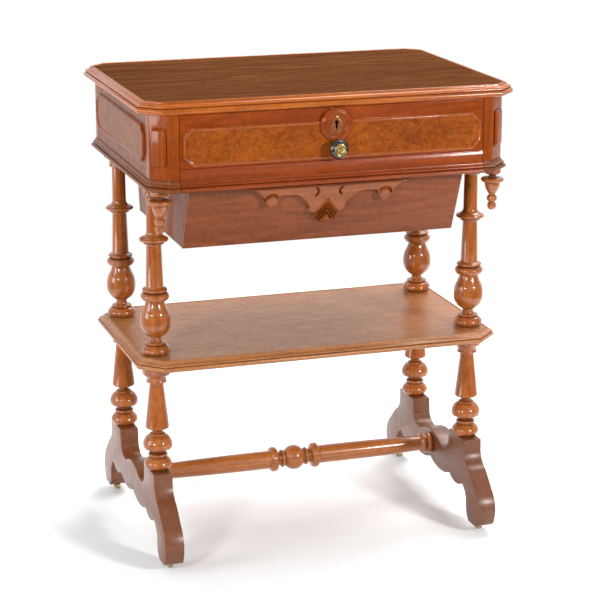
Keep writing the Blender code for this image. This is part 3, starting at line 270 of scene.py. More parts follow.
# %% The moulding tree
def moulding_tree():
    """Carries an outline of (distance in, rise) round the corners of a path, with mitred corners."""
    inputs = (
        ("Outline", "NodeSocketGeometry"),
        ("Path", "NodeSocketObject"),
        ("Rise", "NodeSocketVector"),
        ("Finish", "NodeSocketMaterial"),
    )
    tree, given, out = tree_with("Moulding", "GeometryNodeTree", inputs, [("Moulded", "NodeSocketGeometry")])
    outline_in, path, rise, finish = given.outputs[:4]
    corners = add(tree, "GeometryNodeObjectInfo", None, Object=path).outputs["Geometry"]
    rows = add(tree, "GeometryNodeAttributeDomainSize", None, Geometry=outline_in).outputs["Point Count"]
    turns = add(tree, "GeometryNodeAttributeDomainSize", None, Geometry=corners).outputs["Point Count"]
    columns = whole(tree, "ADD", turns, 1)
    grid = add(tree, "GeometryNodeMeshGrid", None, i2=columns, i3=rows).outputs["Mesh"]
    index = add(tree, "GeometryNodeInputIndex").outputs[0]
    row = whole(tree, "MODULO", index, rows)
    corner = whole(tree, "MODULO", whole(tree, "DIVIDE_FLOOR", index, rows), turns)
    position = add(tree, "GeometryNodeInputPosition").outputs[0]
    a_vector = {"data_type": "FLOAT_VECTOR"}
    mitre = add(tree, "GeometryNodeInputNamedAttribute", a_vector, Name="mitre").outputs[0]

    def read(source, value, at):
        node = add(tree, "GeometryNodeSampleIndex", a_vector, Geometry=source)
        tree.links.new(value, node.inputs["Value"])
        tree.links.new(at, node.inputs["Index"])
        return node.outputs[0]

    shape = add(tree, "ShaderNodeSeparateXYZ", None, Vector=read(outline_in, position, row)).outputs
    scaled, summed = {"operation": "SCALE"}, {"operation": "ADD"}
    across = read(corners, mitre, corner)
    inward = add(tree, "ShaderNodeVectorMath", scaled, i0=across, Scale=shape[0]).outputs[0]
    upward = add(tree, "ShaderNodeVectorMath", scaled, i0=rise, Scale=shape[1]).outputs[0]
    shift = add(tree, "ShaderNodeVectorMath", summed, i0=inward, i1=upward).outputs[0]
    stand_at = read(corners, position, corner)
    place_at = add(tree, "ShaderNodeVectorMath", summed, i0=stand_at, i1=shift)
    moved = add(tree, "GeometryNodeSetPosition", None, Geometry=grid, Position=place_at.outputs[0])
    joined = add(tree, "GeometryNodeMergeByDistance", None, Geometry=moved.outputs[0], Distance=2e-6)
    real = add(tree, "GeometryNodeRealizeInstances", None, Geometry=joined.outputs[0])
    done = add(tree, "GeometryNodeSetMaterial", None, Geometry=real.outputs[0], Material=finish)
    tree.links.new(done.outputs[0], out.inputs[0])
    return tree


MOULDING = moulding_tree()


def canted(half_x, half_y, cant):
    """A rectangle with its corners cut off, anticlockwise from the front left."""
    corners = []
    for sx, sy in ((-1, -1), (1, -1), (1, 1), (-1, 1)):
        pair = [(sx * half_x, sy * (half_y - cant)), (sx * (half_x - cant), sy * half_y)]
        corners += pair if sx * sy > 0 else pair[::-1]
    return corners


def mitres(corners):
    """At each corner, the direction in which parallel edges stay parallel as they move in by one unit."""
    found = []
    for i, here in enumerate(corners):
        before, after = Vector(corners[i - 1]), Vector(corners[(i + 1) % len(corners)])
        a = (Vector(here) - before).normalized()
        b = (after - Vector(here)).normalized()
        inward_a, inward_b = Vector((-a.y, a.x)), Vector((-b.y, b.x))
        found.append((inward_a + inward_b) / (1 + inward_a.dot(inward_b)))
    return found


def moulded(name, stations, corners, to_world, finish, close=False, arc_steps=6, corner_deg=32):
    """A moulding of (distance in, rise) round the corners, which lie in a plane that to_world stands up."""
    path = bpy.data.meshes.new(name + "_path")
    turn = to_world.to_3x3()
    path.from_pydata([to_world @ Vector((*corner, 0.0)) for corner in corners], [], [])
    slides = [turn @ Vector((*slide, 0.0)) for slide in mitres(corners)]
    stored = path.attributes.new("mitre", "FLOAT_VECTOR", "POINT")
    stored.data.foreach_set("vector", [value for slide in slides for value in slide])
    guide = bpy.data.objects.new(name + "_path", path)
    bpy.context.scene.collection.objects.link(guide)
    mesh = grow(
        MOULDING,
        line_mesh(name, outline(stations, arc_steps)),
        Path=guide,
        Rise=turn @ Vector((0, 0, 1)),
        Finish=finish,
    )
    bpy.data.objects.remove(guide)
    clean(mesh, close)
    shade(mesh, corner_deg)
    return mesh


print("the moulding tree has", len(MOULDING.nodes), "nodes")

# %% [markdown]
# ## Wood, in a shader group
# Sawn walnut shows three things at once: slow bands where the log's rings were cut, fine streaks along
# the grain, and short dark pores. Stretched noise gives the streaks and the pores, and a sine of a slow
# noise gives the bands, because its level lines bend and close as real rings do. The grain runs along X
# in the group, and each material turns its coordinates to suit the board.


# %% Shader node helpers
def mix(tree, factor, a, b, blend="MIX"):
    """A colour between two colours."""
    node = add(tree, "ShaderNodeMix", {"data_type": "RGBA", "blend_type": blend}, i0=factor, i6=a, i7=b)
    return node.outputs[2]


def noise(tree, vector, scale, detail=3.0, rough=0.55, distort=0.0):
    """A noise of this many waves to the metre along each axis."""
    spread = add(tree, "ShaderNodeVectorMath", {"operation": "MULTIPLY"}, i0=vector, i1=scale).outputs[0]
    settings = {"Vector": spread, "Scale": 1.0, "Detail": detail, "Roughness": rough, "Distortion": distort}
    return add(tree, "ShaderNodeTexNoise", None, **settings).outputs[0]


def ranged(tree, value, low, high, to_low=0.0, to_high=1.0):
    """A value spread from one range to another, and held inside it."""
    return add(tree, "ShaderNodeMapRange", None, i0=value, i1=low, i2=high, i3=to_low, i4=to_high).outputs[0]


FIGURE_INPUTS = (
    ("Vector", "NodeSocketVector"),
    ("Light", "NodeSocketColor"),
    ("Dark", "NodeSocketColor"),
    ("Figure", "NodeSocketFloat", 0.5),
)
FIGURE_OUTPUTS = (("Colour", "NodeSocketColor"), ("Height", "NodeSocketFloat"))


def wood_figure():
    """Straight grain along X: bands, streaks and pores."""
    tree, given, out = tree_with("Wood figure", "ShaderNodeTree", FIGURE_INPUTS, FIGURE_OUTPUTS)
    vector, light, dark, figure = given.outputs[:4]
    slow = noise(tree, vector, (1.1, 14.0, 14.0), 2.0, 0.45, 0.2)
    bands = maths(tree, "SINE", maths(tree, "MULTIPLY", slow, 95.0))
    streaks = noise(tree, vector, (6.0, 210.0, 210.0), 4.0, 0.65)
    fine = noise(tree, vector, (22.0, 900.0, 900.0), 3.0, 0.7)
    clouds = noise(tree, vector, (2.2, 5.0, 5.0), 3.0)
    banded = maths(tree, "MULTIPLY", maths(tree, "MULTIPLY", bands, 0.14), figure)
    level = maths(tree, "ADD", banded, maths(tree, "MULTIPLY", streaks, 0.45))
    level = maths(tree, "ADD", level, maths(tree, "MULTIPLY", clouds, 0.60))
    level = maths(tree, "ADD", level, maths(tree, "MULTIPLY", fine, 0.30))
    share = ranged(tree, level, 0.42, 0.92)
    pores = ranged(tree, fine, 0.36, 0.46)
    colour = mix(tree, share, dark, light)
    colour = mix(tree, ranged(tree, pores, 0.0, 1.0, 0.45, 0.0), colour, dark)
    tree.links.new(colour, out.inputs["Colour"])
    height = maths(tree, "ADD", maths(tree, "MULTIPLY", pores, 0.6), maths(tree, "MULTIPLY", streaks, 0.4))
    tree.links.new(height, out.inputs["Height"])
    return tree


def burl_figure():
    """Wild figure: swirling bands, clouds and small dark eyes."""
    tree, given, out = tree_with("Burl figure", "ShaderNodeTree", FIGURE_INPUTS, FIGURE_OUTPUTS)
    vector, light, dark, figure = given.outputs[:4]
    swirl = noise(tree, vector, (34.0, 50.0, 50.0), 4.0, 0.65, 1.2)
    bands = maths(tree, "SINE", maths(tree, "MULTIPLY", swirl, 30.0))
    fine = noise(tree, vector, (190.0, 280.0, 280.0), 4.0, 0.7, 0.8)
    clouds = noise(tree, vector, (10.0, 22.0, 22.0), 4.0, 0.65, 0.8)
    eyes = add(tree, "ShaderNodeTexVoronoi", None, Vector=vector, Scale=110.0).outputs[0]
    eye = ranged(tree, eyes, 0.12, 0.30)
    level = maths(tree, "MULTIPLY", maths(tree, "MULTIPLY", bands, 0.14), figure)
    level = maths(tree, "ADD", level, maths(tree, "MULTIPLY", fine, 0.70))
    level = maths(tree, "ADD", level, maths(tree, "MULTIPLY", clouds, 0.75))
    colour = mix(tree, ranged(tree, level, 0.42, 0.95), dark, light)
    colour = mix(tree, ranged(tree, eye, 0.0, 1.0, 0.5, 0.0), colour, dark)
    tree.links.new(colour, out.inputs["Colour"])
    tree.links.new(fine, out.inputs["Height"])
    return tree


WOOD_FIGURE = wood_figure()
BURL_FIGURE = burl_figure()
print("figures:", WOOD_FIGURE.name, "and", BURL_FIGURE.name)

# %% [markdown]
# ## A hundred years of polish
# Old varnish is never even, and this group also paints light and shade into the colour. The grooves get
# painted shade: the ambient occlusion node finds them by how much of the sky a point can see. The corners,
# found by looking from inside the wood, are paled for wear where hands thin the varnish and, on the posts,
# for a painted highlight. The varnish is duller in one patch than the next. Every finish on the table shares
# this one group.


# %% The aged varnish group
def aged_varnish():
    """Paints shade into the grooves, pales the corners for wear and painted highlight, and varies the gloss.
    """
    inputs = (
        ("Colour", "NodeSocketColor"),
        ("Vector", "NodeSocketVector"),
        ("Dirt", "NodeSocketFloat", 0.7),
        ("Wear", "NodeSocketFloat", 0.3),
        ("Gloss", "NodeSocketFloat", 0.5),
    )
    outputs = (
        ("Colour", "NodeSocketColor"),
        ("Roughness", "NodeSocketFloat"),
        ("Coat", "NodeSocketFloat"),
    )
    tree, given, out = tree_with("Aged varnish", "ShaderNodeTree", inputs, outputs)
    colour, vector, dirt, wear, gloss = given.outputs[:5]
    open_sky = {"only_local": True, "samples": 8}
    grooves = add(tree, "ShaderNodeAmbientOcclusion", open_sky, Distance=0.009).outputs["AO"]
    within = {"only_local": True, "samples": 6, "inside": True}
    edges = add(tree, "ShaderNodeAmbientOcclusion", within, Distance=0.0022).outputs["AO"]
    patches = noise(tree, vector, (38.0, 38.0, 38.0), 3.0, 0.6)
    smears = noise(tree, vector, (120.0, 120.0, 120.0), 5.0, 0.75)
    stain = ranged(tree, smears, 0.36, 0.60, 0.50, 0.0)
    stained = mix(tree, 1.0, colour, (0.55, 0.48, 0.44, 1.0), "MULTIPLY")
    colour = mix(tree, stain, colour, stained)
    # Painted shade: where little of the sky is open, in grooves and recesses, the colour goes towards a near
    # black brown.
    groove = ranged(tree, grooves, 0.25, 0.86, 1.0, 0.0)
    groove = maths(tree, "MULTIPLY", groove, dirt)
    # The corners are paled by a mask found from inside the wood: wear and, where its strength is high, a
    # painted highlight.
    edge = ranged(tree, edges, 0.15, 0.55, 1.0, 0.0)
    edge = maths(tree, "MULTIPLY", maths(tree, "MULTIPLY", edge, wear), ranged(tree, patches, 0.3, 0.65))
    pale = mix(tree, 1.0, colour, (1.75, 1.65, 1.55, 1.0), "MULTIPLY")
    painted_groove_shade = mix(tree, 1.0, colour, (0.16, 0.11, 0.10, 1.0), "MULTIPLY")
    paled_edges = mix(tree, edge, colour, pale)
    tree.links.new(mix(tree, groove, paled_edges, painted_groove_shade), out.inputs["Colour"])
    rough = ranged(tree, patches, 0.3, 0.7, 0.62, 0.46)
    rough = maths(tree, "SUBTRACT", rough, maths(tree, "MULTIPLY", gloss, 0.34))
    tree.links.new(maths(tree, "ADD", rough, maths(tree, "MULTIPLY", groove, 0.25)), out.inputs["Roughness"])
    clear = maths(tree, "SUBTRACT", 1.0, maths(tree, "MULTIPLY", groove, 0.8))
    tree.links.new(maths(tree, "MULTIPLY", clear, gloss), out.inputs["Coat"])
    return tree


VARNISH = aged_varnish()
print(VARNISH.name, "has", len(VARNISH.nodes), "nodes")

# %% [markdown]
# ## The finishes
# One recipe makes every wood on the table, from a light colour, a dark colour, the way the grain runs and
# how glossy the varnish is. The legs are a warm red walnut, the top a duller brown that has lost its
# gloss, and the drawer and side panels a golden burl.

# %% Wood materials
GRAIN = {"X": (0, 0, 0), "Y": (0, 0, -math.pi / 2), "Z": (0, math.pi / 2, 0)}


def wood(
    name, grain, light, dark, kind=WOOD_FIGURE, figure=0.6,
    gloss=0.6, dirt=0.75, wear=0.35, clear=0.12, sheen=0.3,
):
    """A varnished wood whose grain runs along this axis."""
    made = bpy.data.materials.new(name)
    made.use_nodes = True
    tree = made.node_tree
    shader = tree.nodes["Principled BSDF"]
    place_on = add(tree, "ShaderNodeTexCoord").outputs["Object"]
    along = add(tree, "ShaderNodeMapping", None, Vector=place_on, Rotation=GRAIN[grain]).outputs[0]
    look = {"Vector": along, "Light": (*light, 1.0), "Dark": (*dark, 1.0), "Figure": figure}
    cut = add(tree, "ShaderNodeGroup", {"node_tree": kind}, **look)
    aged = {"Colour": cut.outputs["Colour"], "Vector": place_on, "Dirt": dirt, "Wear": wear, "Gloss": gloss}
    varnish = add(tree, "ShaderNodeGroup", {"node_tree": VARNISH}, **aged)
    bump = add(tree, "ShaderNodeBump", None, Strength=0.35, Distance=0.0004, Height=cut.outputs["Height"])
    tree.links.new(varnish.outputs["Colour"], shader.inputs["Base Color"])
    tree.links.new(varnish.outputs["Roughness"], shader.inputs["Roughness"])
    tree.links.new(varnish.outputs["Coat"], shader.inputs["Coat Weight"])
    tree.links.new(bump.outputs[0], shader.inputs["Normal"])
    shader.inputs["Coat Roughness"].default_value = clear
    shader.inputs["Specular IOR Level"].default_value = sheen
    return made


RED_LIGHT, RED_DARK = (0.50, 0.150, 0.026), (0.24, 0.058, 0.009)
LEG = wood("leg_walnut", "Z", RED_LIGHT, RED_DARK, gloss=0.85, clear=0.08, dirt=0.95, sheen=0.25)
POST_LIGHT, POST_DARK = (0.36, 0.074, 0.005), (0.19, 0.030, 0.002)
# The posts and side panel frames take the paled corners at full strength, a painted highlight along their
# bevels as well as wear, and full painted shade in their grooves.
POST = wood("post_walnut", "Z", POST_LIGHT, POST_DARK, gloss=0.6, dirt=1.0, wear=1.0, sheen=0.1)
RAIL = wood("rail_walnut", "X", (0.34, 0.058, 0.004), (0.18, 0.028, 0.002), gloss=0.45, sheen=0.1)
STRETCHER = wood("stretcher_walnut", "X", (0.48, 0.160, 0.034), (0.27, 0.073, 0.013), gloss=0.65, clear=0.12)
SIDE = wood("side_walnut", "Y", (0.24, 0.064, 0.009), (0.136, 0.030, 0.004), gloss=0.25, sheen=0.15)
FOOT_LIGHT, FOOT_DARK = (0.21, 0.068, 0.022), (0.115, 0.033, 0.010)
FOOT = wood("foot_walnut", "Y", FOOT_LIGHT, FOOT_DARK, figure=0.3, gloss=0.45, clear=0.3)
# The shelf's colour is part walnut and part painted sheen: it is paler than the wood to stand for the white
# its top reflects at a low angle.
SHELF_SHEEN_LIGHT, SHELF_SHEEN_DARK = (0.50, 0.205, 0.066), (0.32, 0.118, 0.033)
SHELF = wood("shelf_walnut", "X", SHELF_SHEEN_LIGHT, SHELF_SHEEN_DARK, gloss=0.4, clear=0.25, sheen=0.2)
TOP = wood("top_walnut", "X", (0.185, 0.070, 0.028), (0.080, 0.027, 0.010), figure=0.8, gloss=0.0, sheen=0.0)
EDGE = wood("edge_walnut", "X", (0.52, 0.128, 0.006), (0.31, 0.064, 0.003), gloss=0.6, clear=0.08, sheen=0.1)
HOPPER = wood("hopper_walnut", "X", (0.29, 0.073, 0.017), (0.15, 0.035, 0.008), gloss=0.3, sheen=0.1)
APRON = wood("apron_walnut", "X", (0.37, 0.090, 0.009), (0.20, 0.043, 0.004), gloss=0.7, dirt=0.55, sheen=0.1)
BURL = wood(
    "drawer_burl", "X", (0.38, 0.088, 0.005), (0.145, 0.025, 0.002), kind=BURL_FIGURE, gloss=0.45, sheen=0.1
)
SIDE_BURL = wood(
    "side_burl", "Y", (0.26, 0.085, 0.020), (0.156, 0.043, 0.008), kind=BURL_FIGURE, gloss=0.25, sheen=0.15
)
# The drawer panel's frame is walnut painted paler than the rail's, a painted highlight for the light that its
# beads catch.
LIT_MOULDING_LIGHT, LIT_MOULDING_DARK = (0.46, 0.108, 0.010), (0.28, 0.056, 0.005)
LIT_MOULDING = wood("moulding_walnut", "X", LIT_MOULDING_LIGHT, LIT_MOULDING_DARK, gloss=0.9, clear=0.06, sheen=0.1)
INSIDE = wood("drawer_wood", "X", (0.58, 0.380, 0.200), (0.42, 0.250, 0.120), gloss=0.05, dirt=0.4, wear=0.1)
INSIDE_SIDE = wood(
    "drawer_side_wood", "Y", (0.58, 0.380, 0.200), (0.42, 0.250, 0.120), gloss=0.05, dirt=0.4, wear=0.1
)
print(len(bpy.data.materials), "materials so far")

# %% [markdown]
# The metal and the black knob need less. Both get the same painted shade in the grooves, the same pale worn
# corners, and a fine noise that breaks up their shine, because a hundred years of polishing leaves brass
# uneven.


# %% Brass, bronze and ebony
def hard(name, light, dark, metallic, gloss, dirt=0.8, wear=0.6, clear=0.05):
    """A smooth hard finish, mottled between two colours."""
    made = bpy.data.materials.new(name)
    made.use_nodes = True
    tree = made.node_tree
    shader = tree.nodes["Principled BSDF"]
    where = add(tree, "ShaderNodeTexCoord").outputs["Object"]
    mottle = noise(tree, where, (240.0, 240.0, 240.0), 4.0, 0.65, 0.4)
    colour = mix(tree, ranged(tree, mottle, 0.35, 0.65), (*dark, 1.0), (*light, 1.0))
    aged = {"Colour": colour, "Vector": where, "Dirt": dirt, "Wear": wear, "Gloss": gloss}
    varnish = add(tree, "ShaderNodeGroup", {"node_tree": VARNISH}, **aged)
    scratches = noise(tree, where, (900.0, 1600.0, 900.0), 3.0, 0.7)
    bump = add(tree, "ShaderNodeBump", None, Strength=0.15, Distance=0.0002, Height=scratches)
    tree.links.new(varnish.outputs["Colour"], shader.inputs["Base Color"])
    tree.links.new(varnish.outputs["Roughness"], shader.inputs["Roughness"])
    tree.links.new(varnish.outputs["Coat"], shader.inputs["Coat Weight"])
    tree.links.new(bump.outputs[0], shader.inputs["Normal"])
    shader.inputs["Metallic"].default_value = metallic
    shader.inputs["Coat Roughness"].default_value = clear
    return made


BRASS = hard("brass", (0.60, 0.46, 0.17), (0.36, 0.25, 0.08), 1.0, 0.85)
BRONZE = hard("plate_bronze", (0.30, 0.095, 0.030), (0.16, 0.045, 0.014), 0.2, 0.7)
EBONY = hard("ebony", (0.020, 0.015, 0.012), (0.010, 0.008, 0.007), 0.0, 1.1, dirt=0.2, wear=0.1)
print(len(bpy.data.materials), "materials in all")

# %% [markdown]
# ## Where things are
# Nothing here is measured twice. Every place comes from a box round a part of the joinery: the underside
# of the case, the top of the shelf, the axis of each leg.


# %% Places from the joinery
def low(node):
    """A node's lowest corner."""
    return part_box(node)[0]


def high(node):
    """A node's highest corner."""
    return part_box(node)[1]


def middle(node):
    """The middle of a node's box."""
    return (low(node) + high(node)) / 2


def size(node):
    """The size of a node's box."""
    return high(node) - low(node)


GAP = 0.0003
SIDES = (("left", -1), ("right", 1))
CORNERS = (("front_left", -1, -1), ("front_right", 1, -1), ("rear_left", -1, 1), ("rear_right", 1, 1))
MID_Y = middle("table_top").y
CASE_LOW = low("bearer_left").z
CASE_FACE = low("drawer_front").y
SHELF_LOW = low("shelf").z
SHELF_TOP = high("shelf").z
PAD_TOP = high("trestle_foot_left").z
FACING = Matrix(((1, 0, 0, 0), (0, 0, -1, 0), (0, 1, 0, 0), (0, 0, 0, 1)))
OUT_LEFT = Matrix(((0, 0, -1, 0), (-1, 0, 0, 0), (0, 1, 0, 0), (0, 0, 0, 1)))
OUT_RIGHT = Matrix(((0, 0, 1, 0), (1, 0, 0, 0), (0, 1, 0, 0), (0, 0, 0, 1)))
print("case from", round(CASE_LOW, 4), "shelf at", round(SHELF_TOP, 4), "feet to", round(PAD_TOP, 4))

# %% [markdown]
# ## The legs
# Each leg is two turnings with the shelf held between them. The upper one has a trumpet capital, a ring,
# a slim shaft that widens as it falls, a second ring, a vase and a bun. A turner would cut the sharp
# lines with a parting tool and round the rest, so the outline has short straight fillets between its
# arcs.


# %% Upper and lower legs
def upper_leg():
    """From the capital under the case down to the bun on the shelf."""
    t = CASE_LOW - GAP
    b = SHELF_TOP + GAP
    return (
        (0.0, t),
        (0.0228, t),
        (0.0231, t - 0.0020, 0.3),
        (0.0226, t - 0.0045, 0.3),
        (0.0212, t - 0.0052),
        (0.0150, t - 0.0178, -0.40),
        (0.0152, t - 0.0182),
        (0.0152, t - 0.0200, 0.5),
        (0.0112, t - 0.0210),
        (0.0108, t - 0.0235, -0.2),
        (0.0113, t - 0.0780),
        (0.0186, t - 0.0862, -0.36),
        (0.0190, t - 0.0872),
        (0.0208, t - 0.0876),
        (0.0214, t - 0.0926, 0.75),
        (0.0172, t - 0.0932),
        (0.0156, t - 0.0944),
        (0.0150, t - 0.0974, 0.6),
        (0.0126, t - 0.0978),
        (0.0118, t - 0.1000, -0.2),
        (0.0136, b + 0.1088),
        (0.0140, b + 0.1080),
        (0.0178, b + 0.1062, -0.2),
        (0.0192, b + 0.1052),
        (0.0190, b + 0.1016, 0.6),
        (0.0164, b + 0.1008),
        (0.0164, b + 0.0996),
        (0.0212, b + 0.0972, 0.2),
        (0.0222, b + 0.0912, 0.35),
        (0.0182, b + 0.0866, 0.25),
        (0.0148, b + 0.0846, -0.3),
        (0.0152, b + 0.0826),
        (0.0215, b + 0.0680, -0.05),
        (0.0239, b + 0.0520, 0.08),
        (0.0206, b + 0.0375, 0.16),
        (0.0118, b + 0.0288, 0.12),
        (0.0092, b + 0.0272),
        (0.0090, b + 0.0218, -0.1),
        (0.0148, b + 0.0188, -0.35),
        (0.0160, b + 0.0184),
        (0.0160, b + 0.0158, 0.5),
        (0.0150, b + 0.0150),
        (0.0222, b + 0.0096, 0.20),
        (0.0232, b + 0.0040, 0.25),
        (0.0190, b, 0.22),
        (0.0, b),
    )


def lower_leg():
    """From the block under the shelf down to the ball on the foot."""
    t = SHELF_LOW - GAP
    b = PAD_TOP + GAP
    return (
        (0.0, t),
        (0.0215, t),
        (0.0225, t - 0.0012),
        (0.0222, t - 0.0150, 0.06),
        (0.0212, t - 0.0162),
        (0.0158, t - 0.0262, -0.34),
        (0.0160, t - 0.0268),
        (0.0158, t - 0.0290, 0.5),
        (0.0118, t - 0.0302),
        (0.0112, t - 0.0325, -0.2),
        (0.0188, t - 0.1020),
        (0.0174, t - 0.1056, 0.45),
        (0.0130, t - 0.1072),
        (0.0086, t - 0.1094, -0.3),
        (0.0082, t - 0.1122),
        (0.0116, t - 0.1145, -0.3),
        (0.0124, t - 0.1150),
        (0.0124, t - 0.1180, 0.5),
        (0.0130, b + 0.0568),
        (0.0212, b + 0.0492, 0.22),
        (0.0236, b + 0.0420, 0.14),
        (0.0222, b + 0.0352, 0.16),
        (0.0112, b + 0.0312, 0.08),
        (0.0098, b + 0.0300, -0.2),
        (0.0098, b + 0.0276),
        (0.0140, b + 0.0262),
        (0.0156, b + 0.0240, 0.35),
        (0.0138, b + 0.0212, 0.35),
        (0.0136, b + 0.0202),
        (0.0184, b + 0.0164, 0.12),
        (0.0226, b + 0.0086, 0.20),
        (0.0168, b, 0.25),
        (0.0, b),
    )


for kind, stations in (("upper_leg", upper_leg()), ("lower_leg", lower_leg())):
    for corner, _, _ in CORNERS:
        node = f"{kind}_{corner}"
        axis = middle(node)
        at = Matrix.Translation((axis.x, axis.y, 0.0))
        place(f"{node}_turned", turned(node, stations, LEG, at), LEG, "table", node)
one_leg = bpy.data.objects["upper_leg_front_left_turned"].data
print("eight leg turnings, an upper one of", len(one_leg.polygons), "faces")

# %% [markdown]
# ## The stretcher and the drops
# The rail between the feet is turned as well. Half of it is drawn and mirrored, because the two ends
# match. The drops under the case's front corners have a bell, two beads and a button.


# %% Stretcher and pendants
def stretcher_half():
    """From one end to the middle of the rail."""
    reach = size("stretcher").x / 2 - 0.018
    return (
        (0.0, reach),
        (0.0152, reach),
        (0.0184, reach - 0.0035, 0.35),
        (0.0164, reach - 0.0090, 0.40),
        (0.0148, reach - 0.0100),
        (0.0148, reach - 0.0118),
        (0.0168, reach - 0.0128, 0.2),
        (0.0162, reach - 0.0180, 0.50),
        (0.0138, reach - 0.0200, 0.1),
        (0.0128, reach - 0.0218, -0.3),
        (0.0152, 0.0440, 0.01),
        (0.0162, 0.0425),
        (0.0196, 0.0408, 0.2),
        (0.0206, 0.0360, 0.35),
        (0.0186, 0.0308, 0.30),
        (0.0128, 0.0292),
        (0.0112, 0.0262, -0.35),
        (0.0124, 0.0232, -0.35),
        (0.0142, 0.0228),
        (0.0142, 0.0188, 0.45),
        (0.0118, 0.0176),
        (0.0118, 0.0162),
        (0.0170, 0.0112, 0.12),
        (0.0206, 0.0, 0.20),
    )


def pendant():
    """A drop, from the case down."""
    t = CASE_LOW - GAP
    return (
        (0.0, t),
        (0.0125, t),
        (0.0128, t - 0.0030, 0.1),
        (0.0122, t - 0.0062, 0.3),
        (0.0098, t - 0.0078, 0.1),
        (0.0056, t - 0.0092, -0.3),
        (0.0054, t - 0.0122),
        (0.0140, t - 0.0134, -0.1),
        (0.0164, t - 0.0140),
        (0.0168, t - 0.0196, 0.55),
        (0.0140, t - 0.0206),
        (0.0122, t - 0.0212),
        (0.0058, t - 0.0392, 0.16),
        (0.0048, t - 0.0408, -0.3),
        (0.0050, t - 0.0416),
        (0.0050, t - 0.0528, 0.55),
        (0.0046, t - 0.0534),
        (0.0048, t - 0.0540),
        (0.0068, t - 0.0590, 0.32),
        (0.0, t - 0.0665, 0.45),
    )


half = outline(stretcher_half(), 8)
whole_rail = half + [(radius, -along) for radius, along in reversed(half[:-1])]
rail_at = Matrix.Translation(middle("stretcher")) @ Matrix.Rotation(math.pi / 2, 4, "Y")
rail_mesh = turned("stretcher", whole_rail, STRETCHER, rail_at)
place("stretcher_turned", rail_mesh, STRETCHER, "table", "stretcher")
for side, _ in SIDES:
    node = f"pendant_{side}"
    at = Matrix.Translation((middle(node).x, middle(node).y, 0.0))
    place(f"{node}_turned", turned(node, pendant(), LEG, at, steps=48), LEG, "table", node)
print("stretcher and two pendants")

# %% [markdown]
# ## The top and the shelf
# Both are boards with canted corners and a planed edge. The top's edge has a fat bead below, then a step,
# a sloping band and a fine raised line before the flat. The mortise for the lock's bolt is cut
# afterwards.


# %% Moulded boards
def cut(piece, cutter_mesh):
    """Cuts a shape out of a piece."""
    cutter = bpy.data.objects.new(piece.name + "_cutter", cutter_mesh)
    bpy.context.scene.collection.objects.link(cutter)
    step = piece.modifiers.new("cut", "BOOLEAN")
    step.operation = "DIFFERENCE"
    step.solver = "EXACT"
    step.object = cutter
    apply_modifiers(piece)
    bpy.data.objects.remove(cutter)


def box_mesh(low_corner, high_corner):
    """A box between two corners."""
    shape = bmesh.new()
    bmesh.ops.create_cube(shape, size=1.0)
    span = Vector(high_corner) - Vector(low_corner)
    centre = (Vector(high_corner) + Vector(low_corner)) / 2
    shape.transform(Matrix.Translation(centre) @ Matrix.Diagonal((*span, 1.0)))
    mesh = bpy.data.meshes.new("box")
    shape.to_mesh(mesh)
    shape.free()
    return mesh


def rod_mesh(radius, start, end, steps=40):
    """A round rod from one point to another."""
    run = Vector(end) - Vector(start)
    shape = bmesh.new()
    ends = {"radius1": radius, "radius2": radius, "depth": run.length}
    bmesh.ops.create_cone(shape, cap_ends=True, segments=steps, **ends)
    turn = run.to_track_quat("Z", "Y").to_matrix().to_4x4()
    shape.transform(Matrix.Translation((Vector(start) + Vector(end)) / 2) @ turn)
    mesh = bpy.data.meshes.new("rod")
    shape.to_mesh(mesh)
    shape.free()
    return mesh


def inset_corners(half_x, half_y, cant, inset):
    """The canted outline, moved in by an even distance."""
    return canted(half_x - inset, half_y - inset, cant - inset * (2 - math.sqrt(2)))


def field_mesh(corners, stand, rise, ease=0.0004):
    """A flat panel of this outline and height, its face edge rounded."""
    shape = bmesh.new()
    base = shape.faces.new([shape.verts.new((x, y, 0.0)) for x, y in corners])
    grown = bmesh.ops.extrude_face_region(shape, geom=[base], use_keep_orig=True)
    top_verts = [item for item in grown["geom"] if isinstance(item, bmesh.types.BMVert)]
    bmesh.ops.translate(shape, verts=top_verts, vec=(0, 0, rise))
    chosen = set(top_verts)
    rim = [edge for edge in shape.edges if set(edge.verts) <= chosen]
    bmesh.ops.recalc_face_normals(shape, faces=shape.faces)
    bmesh.ops.bevel(shape, geom=rim, offset=ease, segments=2, profile=0.5, affect="EDGES")
    shape.transform(stand)
    mesh = bpy.data.meshes.new("field")
    shape.to_mesh(mesh)
    shape.free()
    return mesh


TOP_EDGE = (
    (0.0066, 0.0),
    (0.0050, 0.0006),
    (0.0040, 0.0012),
    (0.0030, 0.0098, 0.60),
    (0.0052, 0.0100),
    (0.0052, 0.0112),
    (0.0034, 0.0114),
    (0.0034, 0.0132, 0.15),
    (0.0056, 0.0136),
    (0.0060, 0.0144),
    (0.0102, 0.0170, -0.22),
    (0.0104, 0.0182),
    (0.0120, 0.0184),
    (0.0142, 0.0194, 0.70),
    (0.0148, 0.0187),
)
SHELF_EDGE = (
    (0.0052, 0.0),
    (0.0040, 0.0005),
    (0.0032, 0.0010),
    (0.0024, 0.0076, 0.60),
    (0.0046, 0.0078),
    (0.0046, 0.0089),
    (0.0030, 0.0091),
    (0.0032, 0.0106, 0.15),
    (0.0054, 0.0110),
    (0.0110, 0.0146, -0.16),
    (0.0112, 0.0156),
    (0.0126, 0.0158),
    (0.0146, 0.0168, 0.70),
    (0.0152, 0.0161),
)


def moulded_board(node, cant, edge, finish):
    """A board the size of this node, with canted corners and a planed edge."""
    half_size = size(node) / 2
    stand = Matrix.Translation((middle(node).x, middle(node).y, low(node).z))
    corners = canted(half_size.x, half_size.y, cant)
    mesh = moulded(node, edge, corners, stand, finish, close=True)
    return place(f"{node}_board", mesh, finish, "table", node)


